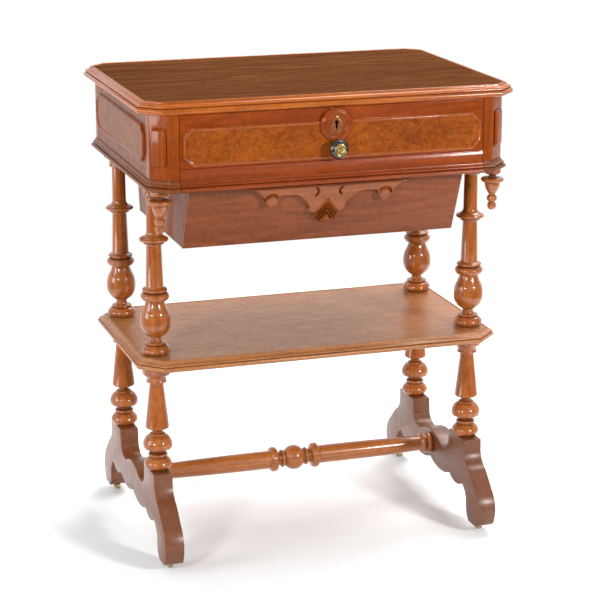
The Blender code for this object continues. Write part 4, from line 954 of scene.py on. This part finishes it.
moulded_board("shelf", 0.0365, SHELF_EDGE, SHELF)
TOP_CANT = 0.031
top_half = size("table_top") / 2
top_stand = Matrix.Translation((0.0, MID_Y, low("table_top").z))
banding = (*TOP_EDGE, (TOP_EDGE[-1][0], 0.0), TOP_EDGE[0])
band = moulded("table_top_edge", banding, canted(top_half.x, top_half.y, TOP_CANT), top_stand, EDGE)
place("table_top_edge", band, EDGE, "table")
inner = inset_corners(top_half.x, top_half.y, TOP_CANT, TOP_EDGE[-1][0] + 0.0001)
top_mesh = field_mesh(inner, top_stand, TOP_EDGE[-1][1], 0.0003)
top = place("table_top_field", top_mesh, TOP, "table", "table_top")
bolt_low, bolt_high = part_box("lock_bolt")
room = Vector((0.0008, 0.0008, 0.0))
deep = Vector((0.0, 0.0, 0.008))
cut(top, box_mesh((*(bolt_low - room).xy, low("table_top").z - 0.001), bolt_high + room + deep))
print("two moulded boards")

# %% [markdown]
# ## Plain boards
# The case, the drawer and the hopper are plain boards with a hand-eased edge. A copy of the bare board,
# with its loose triangles merged and every long outer edge rounded by half a millimetre, catches the
# light there as a planed edge does. Short edges, such as those of a keyhole, stay sharp.


# %% Eased copies of bare boards
def eased(node, finish, body, width=0.0006, longest=0.012, corner_deg=25):
    """A copy of a bare piece with its long outer edges rounded."""
    shape = bmesh.new()
    shape.from_mesh(bpy.data.objects[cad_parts[node].name].data)
    bmesh.ops.remove_doubles(shape, verts=shape.verts, dist=2e-6)
    bmesh.ops.dissolve_limit(shape, angle_limit=math.radians(1), verts=shape.verts, edges=shape.edges)
    outer = [edge for edge in shape.edges if edge.is_manifold and edge.is_convex]
    rounded = [edge for edge in outer if edge.calc_face_angle() > 0.7 and edge.calc_length() > longest]
    if rounded:
        bmesh.ops.bevel(shape, geom=rounded, offset=width, segments=2, profile=0.5, affect="EDGES")
    bmesh.ops.recalc_face_normals(shape, faces=shape.faces)
    mesh = bpy.data.meshes.new(node)
    shape.to_mesh(mesh)
    shape.free()
    shade(mesh, corner_deg)
    return place(f"{node}_eased", mesh, finish, body, node)


for side, _ in SIDES:
    eased(f"case_side_{side}", SIDE, "table")
    eased(f"bearer_{side}", SIDE, "table", 0.0005, 0.030, 30)
    eased(f"drawer_runner_{side}", INSIDE_SIDE, "table")
    eased(f"drawer_side_{side}", INSIDE_SIDE, "drawer")
    eased(f"hopper_side_{side}", HOPPER, "hopper")
for corner, _, _ in CORNERS:
    eased(f"corner_post_{corner}", POST, "table", 0.0004, 0.018)
eased("bearer_back", RAIL, "table", 0.0005, 0.030, 30)
eased("case_back", RAIL, "table")
eased("top_rail", INSIDE, "table")
eased("drawer_front", RAIL, "drawer", 0.0008, 0.030)
eased("drawer_back", INSIDE, "drawer")
eased("drawer_bottom", INSIDE, "drawer", 0.0003)
eased("drawer_dividers", INSIDE, "drawer", 0.0003)
eased("drawer_lock", BRASS, "drawer", 0.0004, 0.008)
eased("lock_bolt", BRASS, "lock_bolt", 0.0003, 0.004)
eased("hopper_rail", RAIL, "hopper", 0.0005, 0.100, 30)
eased("hopper_front", HOPPER, "hopper", 0.0008)
eased("hopper_back", HOPPER, "hopper", 0.0008)
eased("hopper_bottom", HOPPER, "hopper")
print("boards eased")

# %% [markdown]
# ## Panels in mouldings
# A thin burl panel sits on the drawer front inside a frame of bead moulding, and each case side has one
# too. The frame is the moulding tree again, on an outline that closes on itself, so its four sides and
# four cants come out as one ring with true mitres.

# %% Panels and their frames
BEAD = (
    (0.0, 0.0),
    (0.0, 0.0018),
    (0.0008, 0.0022),
    (0.0010, 0.0034),
    (0.0030, 0.0040, 0.75),
    (0.0034, 0.0030),
    (0.0045, 0.0024, -0.2),
    (0.0045, 0.0),
    (0.0, 0.0),
)
PANEL_CANT = 0.014


def standing(frame_matrix, node, back):
    """A plane through the middle of a node, facing out, whose zero is the node's back face."""
    centre = middle(node)
    outward = frame_matrix.to_3x3() @ Vector((0, 0, 1))
    offset = centre - outward * outward.dot(centre) + outward * back
    return Matrix.Translation(offset) @ frame_matrix


drawer_plane = standing(FACING, "drawer_panel_moulding", -high("drawer_panel_moulding").y)
half_size = size("drawer_panel_moulding") / 2
drawer_corners = canted(half_size.x, half_size.z, PANEL_CANT)
ring = moulded("drawer_panel_moulding", BEAD, drawer_corners, drawer_plane, LIT_MOULDING)
ring = place("drawer_panel_frame", ring, LIT_MOULDING, "drawer", "drawer_panel_moulding")
field = inset_corners(half_size.x, half_size.z, PANEL_CANT, 0.0046)
panel = place(
    "drawer_burl_field",
    field_mesh(field, drawer_plane, size("drawer_burl_panel").y),
    BURL,
    "drawer",
    "drawer_burl_panel",
)
boss_at = middle("lock_boss")
knob_at = middle("drawer_knob")
boss_radius = size("lock_boss").x / 2
for holed in (panel, ring):
    behind, before = Vector((0, CASE_FACE + 0.002, boss_at.z)), Vector((0, CASE_FACE - 0.02, boss_at.z))
    cut(holed, rod_mesh(boss_radius + GAP, behind, before, 96))
behind, before = Vector((0, CASE_FACE + 0.002, knob_at.z)), Vector((0, CASE_FACE - 0.02, knob_at.z))
cut(panel, rod_mesh(0.0048, behind, before))
for side, sign in SIDES:
    node = f"side_panel_{side}"
    turn = OUT_LEFT if sign < 0 else OUT_RIGHT
    back = -high(node).x if sign < 0 else low(node).x
    plane = standing(turn, node, back)
    half_y, half_z = size(node).y / 2, size(node).z / 2
    corners = canted(half_y, half_z, PANEL_CANT)
    edge = [(inset, rise * 0.97, *bulge) for inset, rise, *bulge in BEAD]
    ring = moulded(f"{node}_frame", edge, corners, plane, POST)
    place(f"{node}_frame", ring, POST, "table")
    field = inset_corners(half_y, half_z, PANEL_CANT, 0.0046)
    place(f"{node}_field", field_mesh(field, plane, 0.0026), SIDE_BURL, "table", node)
print("three panels and their frames")

# %% [markdown]
# ## The boss, the keyhole plate and the knob
# The lock sits behind a turned boss with a dished face. Its keyhole plate is a drop with the point up,
# with a fine bright edge, and the keyhole goes right through to the lock.


# %% Boss, plate and their keyhole
def facing_out(x, y, z):
    """A lathe axis that points out of the front."""
    return Matrix.Translation((x, y, z)) @ Matrix.Rotation(math.pi / 2, 4, "X")


boss_proud = size("lock_boss").y
BOSS = (
    (0.0, boss_proud - 0.0030),
    (0.0140, boss_proud - 0.0030),
    (0.0158, boss_proud - 0.0026, -0.25),
    (0.0176, boss_proud - 0.0012, -0.15),
    (0.0182, boss_proud - 0.0012),
    (0.0212, boss_proud - 0.0004, 0.55),
    (0.0220, boss_proud - 0.0010),
    (0.0252, boss_proud - 0.0030, 0.40),
    (boss_radius, boss_proud - 0.0050, 0.2),
    (boss_radius, 0.0),
    (0.0, 0.0),
)
boss_back = high("lock_boss").y
boss_mesh = turned("lock_boss", BOSS, RAIL, facing_out(boss_at.x, boss_back, boss_at.z), steps=96)
boss = place("lock_boss_turned", boss_mesh, RAIL, "drawer", "lock_boss")
plate_low, plate_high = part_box("keyhole_plate")
PLATE_RADIUS = (plate_high - plate_low).x / 2
round_z = plate_low.z + PLATE_RADIUS
QUARTER = math.tan(math.pi / 8)


def drop_outline(shrink):
    """A drop with its point up, in X and Z, moved in by a distance."""
    radius = PLATE_RADIUS - shrink
    point = plate_high.z - shrink * 1.6
    stations = (
        (0.0, point),
        (radius, round_z, 0.12),
        (0.0, round_z - radius, QUARTER),
        (-radius, round_z, QUARTER),
        (0.0, point, 0.12),
    )
    return outline(stations, 12)[:-1]


def slab(points, front_y, back_y, ease=0.0):
    """A flat piece of this outline in X and Z, from its front face to its back."""
    shape = bmesh.new()
    front = shape.faces.new([shape.verts.new((x, front_y, z)) for x, z in points])
    grown = bmesh.ops.extrude_face_region(shape, geom=[front], use_keep_orig=True)
    verts = [item for item in grown["geom"] if isinstance(item, bmesh.types.BMVert)]
    bmesh.ops.translate(shape, verts=verts, vec=(0, back_y - front_y, 0))
    bmesh.ops.recalc_face_normals(shape, faces=shape.faces)
    if ease:
        back_set = set(verts)
        rim = [edge for edge in shape.edges if not set(edge.verts) & back_set]
        bmesh.ops.bevel(shape, geom=rim, offset=ease, segments=2, profile=0.5, affect="EDGES")
    mesh = bpy.data.meshes.new("slab")
    shape.to_mesh(mesh)
    shape.free()
    return mesh


scutcheon = place(
    "keyhole_plate_face",
    slab(drop_outline(0.0009), plate_low.y + 0.0004, plate_high.y),
    BRONZE,
    "drawer",
    "keyhole_plate",
)
rim = slab(drop_outline(0.0), plate_low.y, plate_high.y, 0.0003)
rim = place("keyhole_plate_rim", rim, BRASS, "drawer")
cut(rim, slab(drop_outline(0.0009), plate_low.y - 0.001, plate_high.y + 0.001))
shade(rim.data)
bow_z = boss_at.z + 0.004
for holed in (boss, scutcheon):
    cut(holed, rod_mesh(0.0030, (0, boss_back + 0.001, bow_z), (0, plate_low.y - 0.004, bow_z)))
    slot_low = (-0.0015, plate_low.y - 0.004, bow_z - 0.0105)
    cut(holed, box_mesh(slot_low, (0.0015, boss_back + 0.001, bow_z)))
    shade(holed.data)
print("boss radius", round(boss_radius, 4))

# %% [markdown]
# The knob is black and turned, and a brass rosette with a bright button is let into its face. The
# rosette's petals repeat round a ring, so a small node tree stands one petal on each point of a circle
# and turns it to face the middle. Realize Instances makes them real mesh at the end.


# %% Knob and rosette
def petal_ring_tree():
    """Copies of one petal round a circle about Z."""
    inputs = (
        ("Petal", "NodeSocketGeometry"),
        ("Count", "NodeSocketInt", 12),
        ("Radius", "NodeSocketFloat", 0.006),
        ("Finish", "NodeSocketMaterial"),
    )
    tree, given, out = tree_with("Petal ring", "GeometryNodeTree", inputs, [("Ring", "NodeSocketGeometry")])
    petal, count, radius, finish = given.outputs[:4]
    circle = add(tree, "GeometryNodeMeshCircle", None, Vertices=count, Radius=radius).outputs[0]
    index = add(tree, "GeometryNodeInputIndex").outputs[0]
    angle = maths(tree, "MULTIPLY", maths(tree, "DIVIDE", index, count), math.tau)
    turn = add(tree, "ShaderNodeCombineXYZ", None, Z=angle).outputs[0]
    stood = add(tree, "GeometryNodeInstanceOnPoints", None, Points=circle, Instance=petal, Rotation=turn)
    real = add(tree, "GeometryNodeRealizeInstances", None, Geometry=stood.outputs[0])
    done = add(tree, "GeometryNodeSetMaterial", None, Geometry=real.outputs[0], Material=finish)
    tree.links.new(done.outputs[0], out.inputs[0])
    return tree


PETAL_RING = petal_ring_tree()
knob_high = CASE_FACE - low("drawer_knob").y
seat = CASE_FACE - high("knob_rosette").y
ROSETTE_RADIUS = size("knob_rosette").x / 2
KNOB_RADIUS = size("drawer_knob").x / 2
KNOB = (
    (0.0, seat - GAP),
    (ROSETTE_RADIUS + GAP, seat - GAP),
    (ROSETTE_RADIUS + GAP, knob_high - 0.0002),
    (ROSETTE_RADIUS + 0.0010, knob_high, 0.3),
    (KNOB_RADIUS - 0.0012, knob_high - 0.0042, 0.16),
    (KNOB_RADIUS, knob_high - 0.0080, 0.18),
    (KNOB_RADIUS - 0.0025, knob_high - 0.0122, 0.24),
    (0.0078, knob_high - 0.0165, -0.22),
    (0.0070, 0.0090, -0.1),
    (0.0084, 0.0052, -0.2),
    (0.0084, 0.0039),
    (0.0045, 0.0039),
    (0.0045, -0.0090),
    (0.0, -0.0090),
)
knob_turn = facing_out(knob_at.x, CASE_FACE, knob_at.z)
knob_mesh = turned("drawer_knob", KNOB, EBONY, knob_turn, steps=96)
place("drawer_knob_turned", knob_mesh, EBONY, "drawer", "drawer_knob")
rosette_high = size("knob_rosette").y
ROSETTE = (
    (0.0, rosette_high - 0.0004),
    (0.0024, rosette_high - 0.0011, 0.36),
    (0.0026, 0.0014, 0.1),
    (0.0032, 0.0008),
    (0.0074, 0.0008),
    (0.0080, 0.0018, 0.2),
    (0.0092, 0.0018, 0.4),
    (ROSETTE_RADIUS, 0.0004, 0.2),
    (ROSETTE_RADIUS, 0.0),
    (0.0, 0.0),
)
rosette_turn = facing_out(knob_at.x, high("knob_rosette").y, knob_at.z)
rosette_mesh = turned("knob_rosette", ROSETTE, BRASS, rosette_turn, steps=64)
place("knob_rosette_turned", rosette_mesh, BRASS, "drawer", "knob_rosette")
petal = bmesh.new()
bmesh.ops.create_uvsphere(petal, u_segments=12, v_segments=8, radius=1.0)
petal.transform(Matrix.Translation((0, 0, 0.0010)) @ Matrix.Diagonal((0.0021, 0.0012, 0.0009, 1.0)))
petal_mesh = bpy.data.meshes.new("petal")
petal.to_mesh(petal_mesh)
petal.free()
petals = grow(PETAL_RING, petal_mesh, Count=12, Radius=0.0053, Finish=BRASS)
petals.transform(rosette_turn)
shade(petals, 60)
place("knob_rosette_petals", petals, BRASS, "drawer")
print("knob, rosette and 12 petals")

# %% [markdown]
# ## The carved apron
# The drop on the hopper's front is carved from one board: a roundel at each side with a crescent gouged
# over it, a leaf of nested chevrons down the middle and two comma cuts above. Carving is relief over an
# outline, so the face is a fine mesh of points inside the outline, each lifted by a height worked out
# from where it is.

# %% Carve the apron
APRON_THICK = 0.009
HOPPER_SLOPE = 0.4306  # how far in the hopper's front leans for each unit of height
APRON_HALF = (
    (0.0, 0.0),
    (0.1310, 0.0),
    (0.1035, 0.0235, 0.20),
    (0.0840, 0.0300, -0.80),
    (0.0815, 0.0200, -0.12),
    (0.0740, 0.0165, 0.30),
    (0.0590, 0.0160, 0.05),
    (0.0400, 0.0270, 0.22),
    (0.0290, 0.0430, 0.12),
    (0.0262, 0.0520, -0.45),
    (0.0200, 0.0545, -0.1),
    (0.0186, 0.0600, 0.3),
    (0.0120, 0.0680, -0.35),
    (0.0, 0.0718, -0.05),
)
ROUNDEL = Vector((0.0925, 0.0235))
ROUNDEL_RADIUS = 0.0097
LEAF_SLOPE = 1.35  # how far a chevron falls for each unit out from the middle
LEAF_STEPS = ((0.0256, 0.0370), (0.0370, 0.0450), (0.0450, 0.0540), (0.0540, 0.0780))


def step_up(value, start, end):
    """Zero before start, one after end, and smooth between."""
    share = np.clip((value - start) / (end - start), 0.0, 1.0)
    return share * share * (3 - 2 * share)


def rim_distance(points, border):
    """How far each point is from the outline."""
    nearest = np.full(len(points), 1.0)
    for a, b in zip(border, np.roll(border, -1, axis=0)):
        run = b - a
        share = np.clip(((points - a) @ run) / max(run @ run, 1e-12), 0.0, 1.0)
        away = points - (a + share[:, None] * run)
        nearest = np.minimum(nearest, np.hypot(away[:, 0], away[:, 1]))
    return nearest


def carving(points, border):
    """The height of the carved face at each (x, down) point."""
    x, down = np.abs(points[:, 0]), points[:, 1]
    edge = rim_distance(points, border)
    height = APRON_THICK - 0.0016 * (1 - step_up(edge, 0.0, 0.0026))
    height -= 0.0012 * step_up(down, 0.004, 0.026) * (1 - step_up(x, 0.030, 0.045))
    away = np.hypot(x - ROUNDEL.x, down - ROUNDEL.y)
    height += 0.0024 * (1 - step_up(away, ROUNDEL_RADIUS - 0.0008, ROUNDEL_RADIUS))
    above = np.arctan2(ROUNDEL.y - down, x - ROUNDEL.x)
    crescent = np.exp(-(((away - 0.0110) / 0.0016) ** 2)) * step_up(np.sin(above + 0.35), 0.05, 0.45)
    height -= 0.0030 * crescent * (edge > 0.0004)
    comma_away = np.hypot(x - 0.0265, down - 0.0125)
    comma_turn = np.arctan2(0.0125 - down, 0.0265 - x)
    comma = np.exp(-(((comma_away - 0.0090) / 0.0014) ** 2)) * step_up(np.cos(comma_turn), 0.25, 0.70)
    height -= 0.0042 * comma
    fall = down - LEAF_SLOPE * x
    for start, end in LEAF_STEPS:
        inside = step_up(fall, start, start + 0.0008) * (1 - step_up(fall, end - 0.0004, end + 0.0004))
        share = np.clip((fall - start) / (end - start), 0.0, 1.0)
        height += inside * (0.0030 - 0.0050 * share - 0.04 * np.minimum(x, 0.030))
    return height


def apron_mesh():
    """The apron, in its own plane: x to the right, y up, and z out from its back."""
    half_line = outline(APRON_HALF, 12)[1:]
    border = [(x, down) for x, down in half_line] + [(-x, down) for x, down in reversed(half_line[:-1])]
    border = np.array(border)
    grid = 0.0009
    across = np.arange(border[:, 0].min(), border[:, 0].max(), grid)
    downs = np.arange(0.0, border[:, 1].max(), grid)
    points = np.array([(x, down) for down in downs for x in across])
    edges_in = np.roll(border, -1, axis=0)
    crossings = np.zeros(len(points), int)
    for (ax, ay), (bx, by) in zip(border, edges_in):
        spans = (ay > points[:, 1]) != (by > points[:, 1])
        at = ax + (points[:, 1] - ay) * (bx - ax) / (by - ay if by != ay else 1.0)
        crossings += spans & (points[:, 0] < at)
    inner = points[(crossings % 2 == 1)]
    inner = inner[rim_distance(inner, border) > 0.5 * grid]
    flat = [Vector(point) for point in np.vstack((border, inner))]
    rim = [list(range(len(border)))]
    found, _, faces, _, _, _ = delaunay_2d_cdt(flat, [], rim, 1, 1e-7)
    found = np.array([tuple(point) for point in found])
    heights = carving(found, border)
    shape = bmesh.new()
    front = [shape.verts.new((x, -down, rise)) for (x, down), rise in zip(found, heights)]
    for face in faces:
        shape.faces.new([front[i] for i in face])
    loose = [vert for vert in shape.verts if not vert.link_faces]
    bmesh.ops.delete(shape, geom=loose, context="VERTS")
    open_edges = [edge for edge in shape.edges if edge.is_boundary]
    grown = bmesh.ops.extrude_edge_only(shape, edges=open_edges)["geom"]
    for vert in grown:
        if isinstance(vert, bmesh.types.BMVert):
            vert.co.z = 0.0
    bmesh.ops.holes_fill(shape, edges=[edge for edge in shape.edges if edge.is_boundary], sides=0)
    bmesh.ops.recalc_face_normals(shape, faces=shape.faces)
    mesh = bpy.data.meshes.new("apron")
    shape.to_mesh(mesh)
    shape.free()
    return mesh


lean = math.atan(HOPPER_SLOPE)
apron_top = CASE_LOW - 2 * GAP - APRON_THICK * math.sin(lean)
front_y = low("hopper_front").y + (high("hopper_front").z - apron_top) * HOPPER_SLOPE
out = Vector((0, -GAP * math.cos(lean), -GAP * math.sin(lean)))
apron = apron_mesh()
apron.transform(
    Matrix.Translation(Vector((0, front_y, apron_top)) + out) @ Matrix.Rotation(lean, 4, "X") @ FACING
)
shade(apron, 40)
place("hopper_apron_carved", apron, APRON, "hopper", "hopper_apron")
print("the apron has", len(apron.polygons), "faces")

# %% [markdown]
# ## The feet
# Each foot is sawn from one plank: a hump in the middle, a tall pad under each leg, a long toe and a
# scalloped underside. The outline is drawn once as arcs from the middle to the toe and back, mirrored,
# and given the plank's thickness. The pocket for each caster is then bored from below.


# %% Sawn feet
def foot_half():
    """Half of a foot's outline as (out from the middle, height), from its hump round the toe."""
    reach = size("trestle_foot_left").y / 2
    leg = (middle("upper_leg_rear_left").y - middle("upper_leg_front_left").y) / 2
    scallop = 0.0680
    under = low("trestle_foot_left").z
    return (
        (0.0, 0.1170),
        (0.0130, 0.1155, 0.05),
        (0.0400, 0.1075, 0.08),
        (leg - 0.0600, 0.1045, -0.15),
        (leg - 0.0360, 0.1180, -0.30),
        (leg - 0.0335, PAD_TOP),
        (leg + 0.0325, PAD_TOP),
        (leg + 0.0327, 0.1240),
        (reach - 0.0470, 0.1010, -0.25),
        (reach - 0.0180, 0.0740, 0.02),
        (reach, 0.0430, 0.22),
        (reach - 0.0060, 0.0200, 0.08),
        (reach - 0.0170, under, 0.25),
        (reach - 0.0400, under),
        (reach - 0.0510, 0.0230, 0.20),
        (reach - 0.0540, 0.0450, 0.10),
        (reach - 0.0740, scallop, -0.25),
        (leg - 0.0290, scallop, 0.32),
        (0.0, scallop, 0.22),
    )


def foot_mesh(node):
    """The sawn plank, with its arrises rounded."""
    half_line = outline(foot_half(), 9)
    points = half_line + [(-along, up) for along, up in reversed(half_line[1:-1])]
    thick = size(node).x
    side_x = low(node).x
    shape = bmesh.new()
    near = shape.faces.new([shape.verts.new((side_x, MID_Y + along, up)) for along, up in points])
    grown = bmesh.ops.extrude_face_region(shape, geom=[near], use_keep_orig=True)
    verts = [item for item in grown["geom"] if isinstance(item, bmesh.types.BMVert)]
    bmesh.ops.translate(shape, verts=verts, vec=(thick, 0, 0))
    bmesh.ops.recalc_face_normals(shape, faces=shape.faces)
    rims = [edge for edge in shape.edges if len({round(vert.co.x, 5) for vert in edge.verts}) == 1]
    bmesh.ops.bevel(shape, geom=rims, offset=0.0012, segments=3, profile=0.5, affect="EDGES")
    mesh = bpy.data.meshes.new("foot")
    shape.to_mesh(mesh)
    shape.free()
    return mesh


WHEEL_RADIUS = 0.0080
FORK_WALL = 0.0016
CROWN_GAP = 0.0008  # between a wheel and the crown of its fork
STEM_RADIUS = 0.0025
POCKET_RADIUS = 0.0136  # of the hollow that the caster swivels in
for side, _ in SIDES:
    node = f"trestle_foot_{side}"
    foot = place(f"{node}_sawn", foot_mesh(node), FOOT, "table", node)
    for end in ("front", "rear"):
        stem = middle(f"upper_leg_{end}_{side}").x
        fork = f"caster_fork_{end}_{side}"
        swivel_y = low(fork).y + 2 * STEM_RADIUS
        roof = FORK_WALL + 2 * WHEEL_RADIUS + CROWN_GAP + GAP
        cut(foot, rod_mesh(POCKET_RADIUS, (stem, swivel_y, -0.002), (stem, swivel_y, roof), 64))
        stem_end = (stem, swivel_y, high(fork).z + GAP)
        cut(foot, rod_mesh(STEM_RADIUS + GAP, (stem, swivel_y, roof - 0.001), stem_end, 24))
    shade(foot.data, 24)
print("feet from", round(low("trestle_foot_left").z, 4), "to", round(PAD_TOP, 4))

# %% [markdown]
# ## The casters
# Small brass casters hide in the toes. The forks are plain castings, so an eased copy will do. Each wheel
# is turned with a rounded tread and a hub.

# %% Forks and wheels
WHEEL = (
    (0.0017, 0.0040),
    (0.0034, 0.0040),
    (0.0038, 0.0030, -0.2),
    (0.0058, 0.0030),
    (0.0064, 0.0038, 0.2),
    (0.0071, 0.0038, 0.2),
    (0.0080, 0.0027, 0.35),
    (0.0080, -0.0027),
    (0.0071, -0.0038, 0.35),
    (0.0064, -0.0038, 0.2),
    (0.0058, -0.0030, 0.2),
    (0.0038, -0.0030),
    (0.0034, -0.0040, -0.2),
    (0.0017, -0.0040),
    (0.0017, 0.0040),
)
for corner, _, _ in CORNERS:
    eased(f"caster_fork_{corner}", BRASS, f"caster_{corner}", 0.0004, 0.003, 35)
    wheel_node = f"caster_wheel_{corner}"
    at = Matrix.Translation(middle(wheel_node)) @ Matrix.Rotation(math.pi / 2, 4, "Y")
    wheel = turned(wheel_node, WHEEL, BRASS, at, steps=48, arc_steps=5)
    place(f"{wheel_node}_turned", wheel, BRASS, f"wheel_{corner}", wheel_node)
print("four casters")

# %% [markdown]
# ## Light, floor and camera
# Furniture is shown in a white studio: white paper underfoot and behind, a large soft light above that
# lays faint shadows forward, and two softboxes in front that put small bright marks on everything turned.
# The room in front of the table is dim, so that its polished front keeps its colour instead of mirroring
# white.


# %% The studio
def softbox(name, place_at, aim, width, power):
    """A square area light that points at a place."""
    lamp = bpy.data.lights.new(name, "AREA")
    lamp.shape = "SQUARE"
    lamp.size = width
    lamp.energy = power
    light = bpy.data.objects.new(name, lamp)
    light.location = place_at
    light.rotation_euler = (Vector(aim) - Vector(place_at)).to_track_quat("-Z", "Y").to_euler()
    bpy.context.scene.collection.objects.link(light)


FLOOR_RADIUS = 1.5
floor = bmesh.new()
bmesh.ops.create_circle(floor, cap_ends=True, segments=96, radius=FLOOR_RADIUS)
floor_mesh = bpy.data.meshes.new("studio_floor")
floor.to_mesh(floor_mesh)
floor.free()
floor_object = bpy.data.objects.new("studio_floor", floor_mesh)
bpy.context.scene.collection.objects.link(floor_object)
paper = bpy.data.materials.new("white_paper")
paper.use_nodes = True
tree = paper.node_tree
where = add(tree, "ShaderNodeTexCoord").outputs["Object"]
speckle = ranged(tree, noise(tree, where, (2.0, 2.0, 2.0)), 0.3, 0.7, 0.0, 1.0)
shader = tree.nodes["Principled BSDF"]
white = mix(tree, speckle, (0.90, 0.935, 0.95, 1.0), (0.92, 0.955, 0.97, 1.0))
tree.links.new(white, shader.inputs["Base Color"])
shader.inputs["Roughness"].default_value = 0.9
shader.inputs["Specular IOR Level"].default_value = 0.1
floor_mesh.materials.append(paper)

surround = bpy.data.worlds.new("white_surround")
surround.use_nodes = True
tree = surround.node_tree
direction = add(tree, "ShaderNodeTexCoord").outputs["Generated"]
split = add(tree, "ShaderNodeSeparateXYZ", None, Vector=direction).outputs
behind = ranged(tree, split["Y"], -0.30, 0.50)
above = ranged(tree, split["Z"], 0.30, 0.90, 0.0, 0.45)
dimmed = ranged(tree, maths(tree, "MAXIMUM", behind, above), 0.0, 1.0, 0.14, 0.95)
seen = add(tree, "ShaderNodeLightPath").outputs["Is Camera Ray"]
background = tree.nodes["Background"]
background.inputs["Color"].default_value = (1.0, 1.0, 1.0, 1.0)
tree.links.new(maths(tree, "MAXIMUM", seen, dimmed), background.inputs["Strength"])
bpy.context.scene.world = surround
bpy.context.scene.view_settings.view_transform = "Standard"
centre = (0.0, 0.0, 0.4)
softbox("key", (1.2, 0.9, 2.8), centre, 1.8, 80.0)
softbox("front_left", (-2.2, -2.2, 1.5), centre, 0.45, 38.0)
softbox("front_right", (1.5, -2.6, 1.5), centre, 0.45, 70.0)
softbox("left_fill", (-2.7, -0.3, 1.0), centre, 1.2, 32.0)
print("four lights")

# %% The camera
AIM = Vector((0.0016, -0.0208, 0.3781))
AZIMUTH = math.radians(18.098)
ELEVATION = math.radians(15.412)
DISTANCE = 3.300
camera = bpy.data.cameras.new("camera")
camera.lens = 120.15
camera.sensor_width = 36.0
view = bpy.data.objects.new("camera", camera)
level = Vector((-math.sin(AZIMUTH), -math.cos(AZIMUTH), 0.0)) * math.cos(ELEVATION)
view.location = AIM + DISTANCE * (level + Vector((0, 0, math.sin(ELEVATION))))
view.rotation_euler = (math.pi / 2 - ELEVATION, 0.0, -AZIMUTH)
bpy.context.scene.collection.objects.link(view)
bpy.context.scene.camera = view
print("camera at", [round(value, 3) for value in view.location])
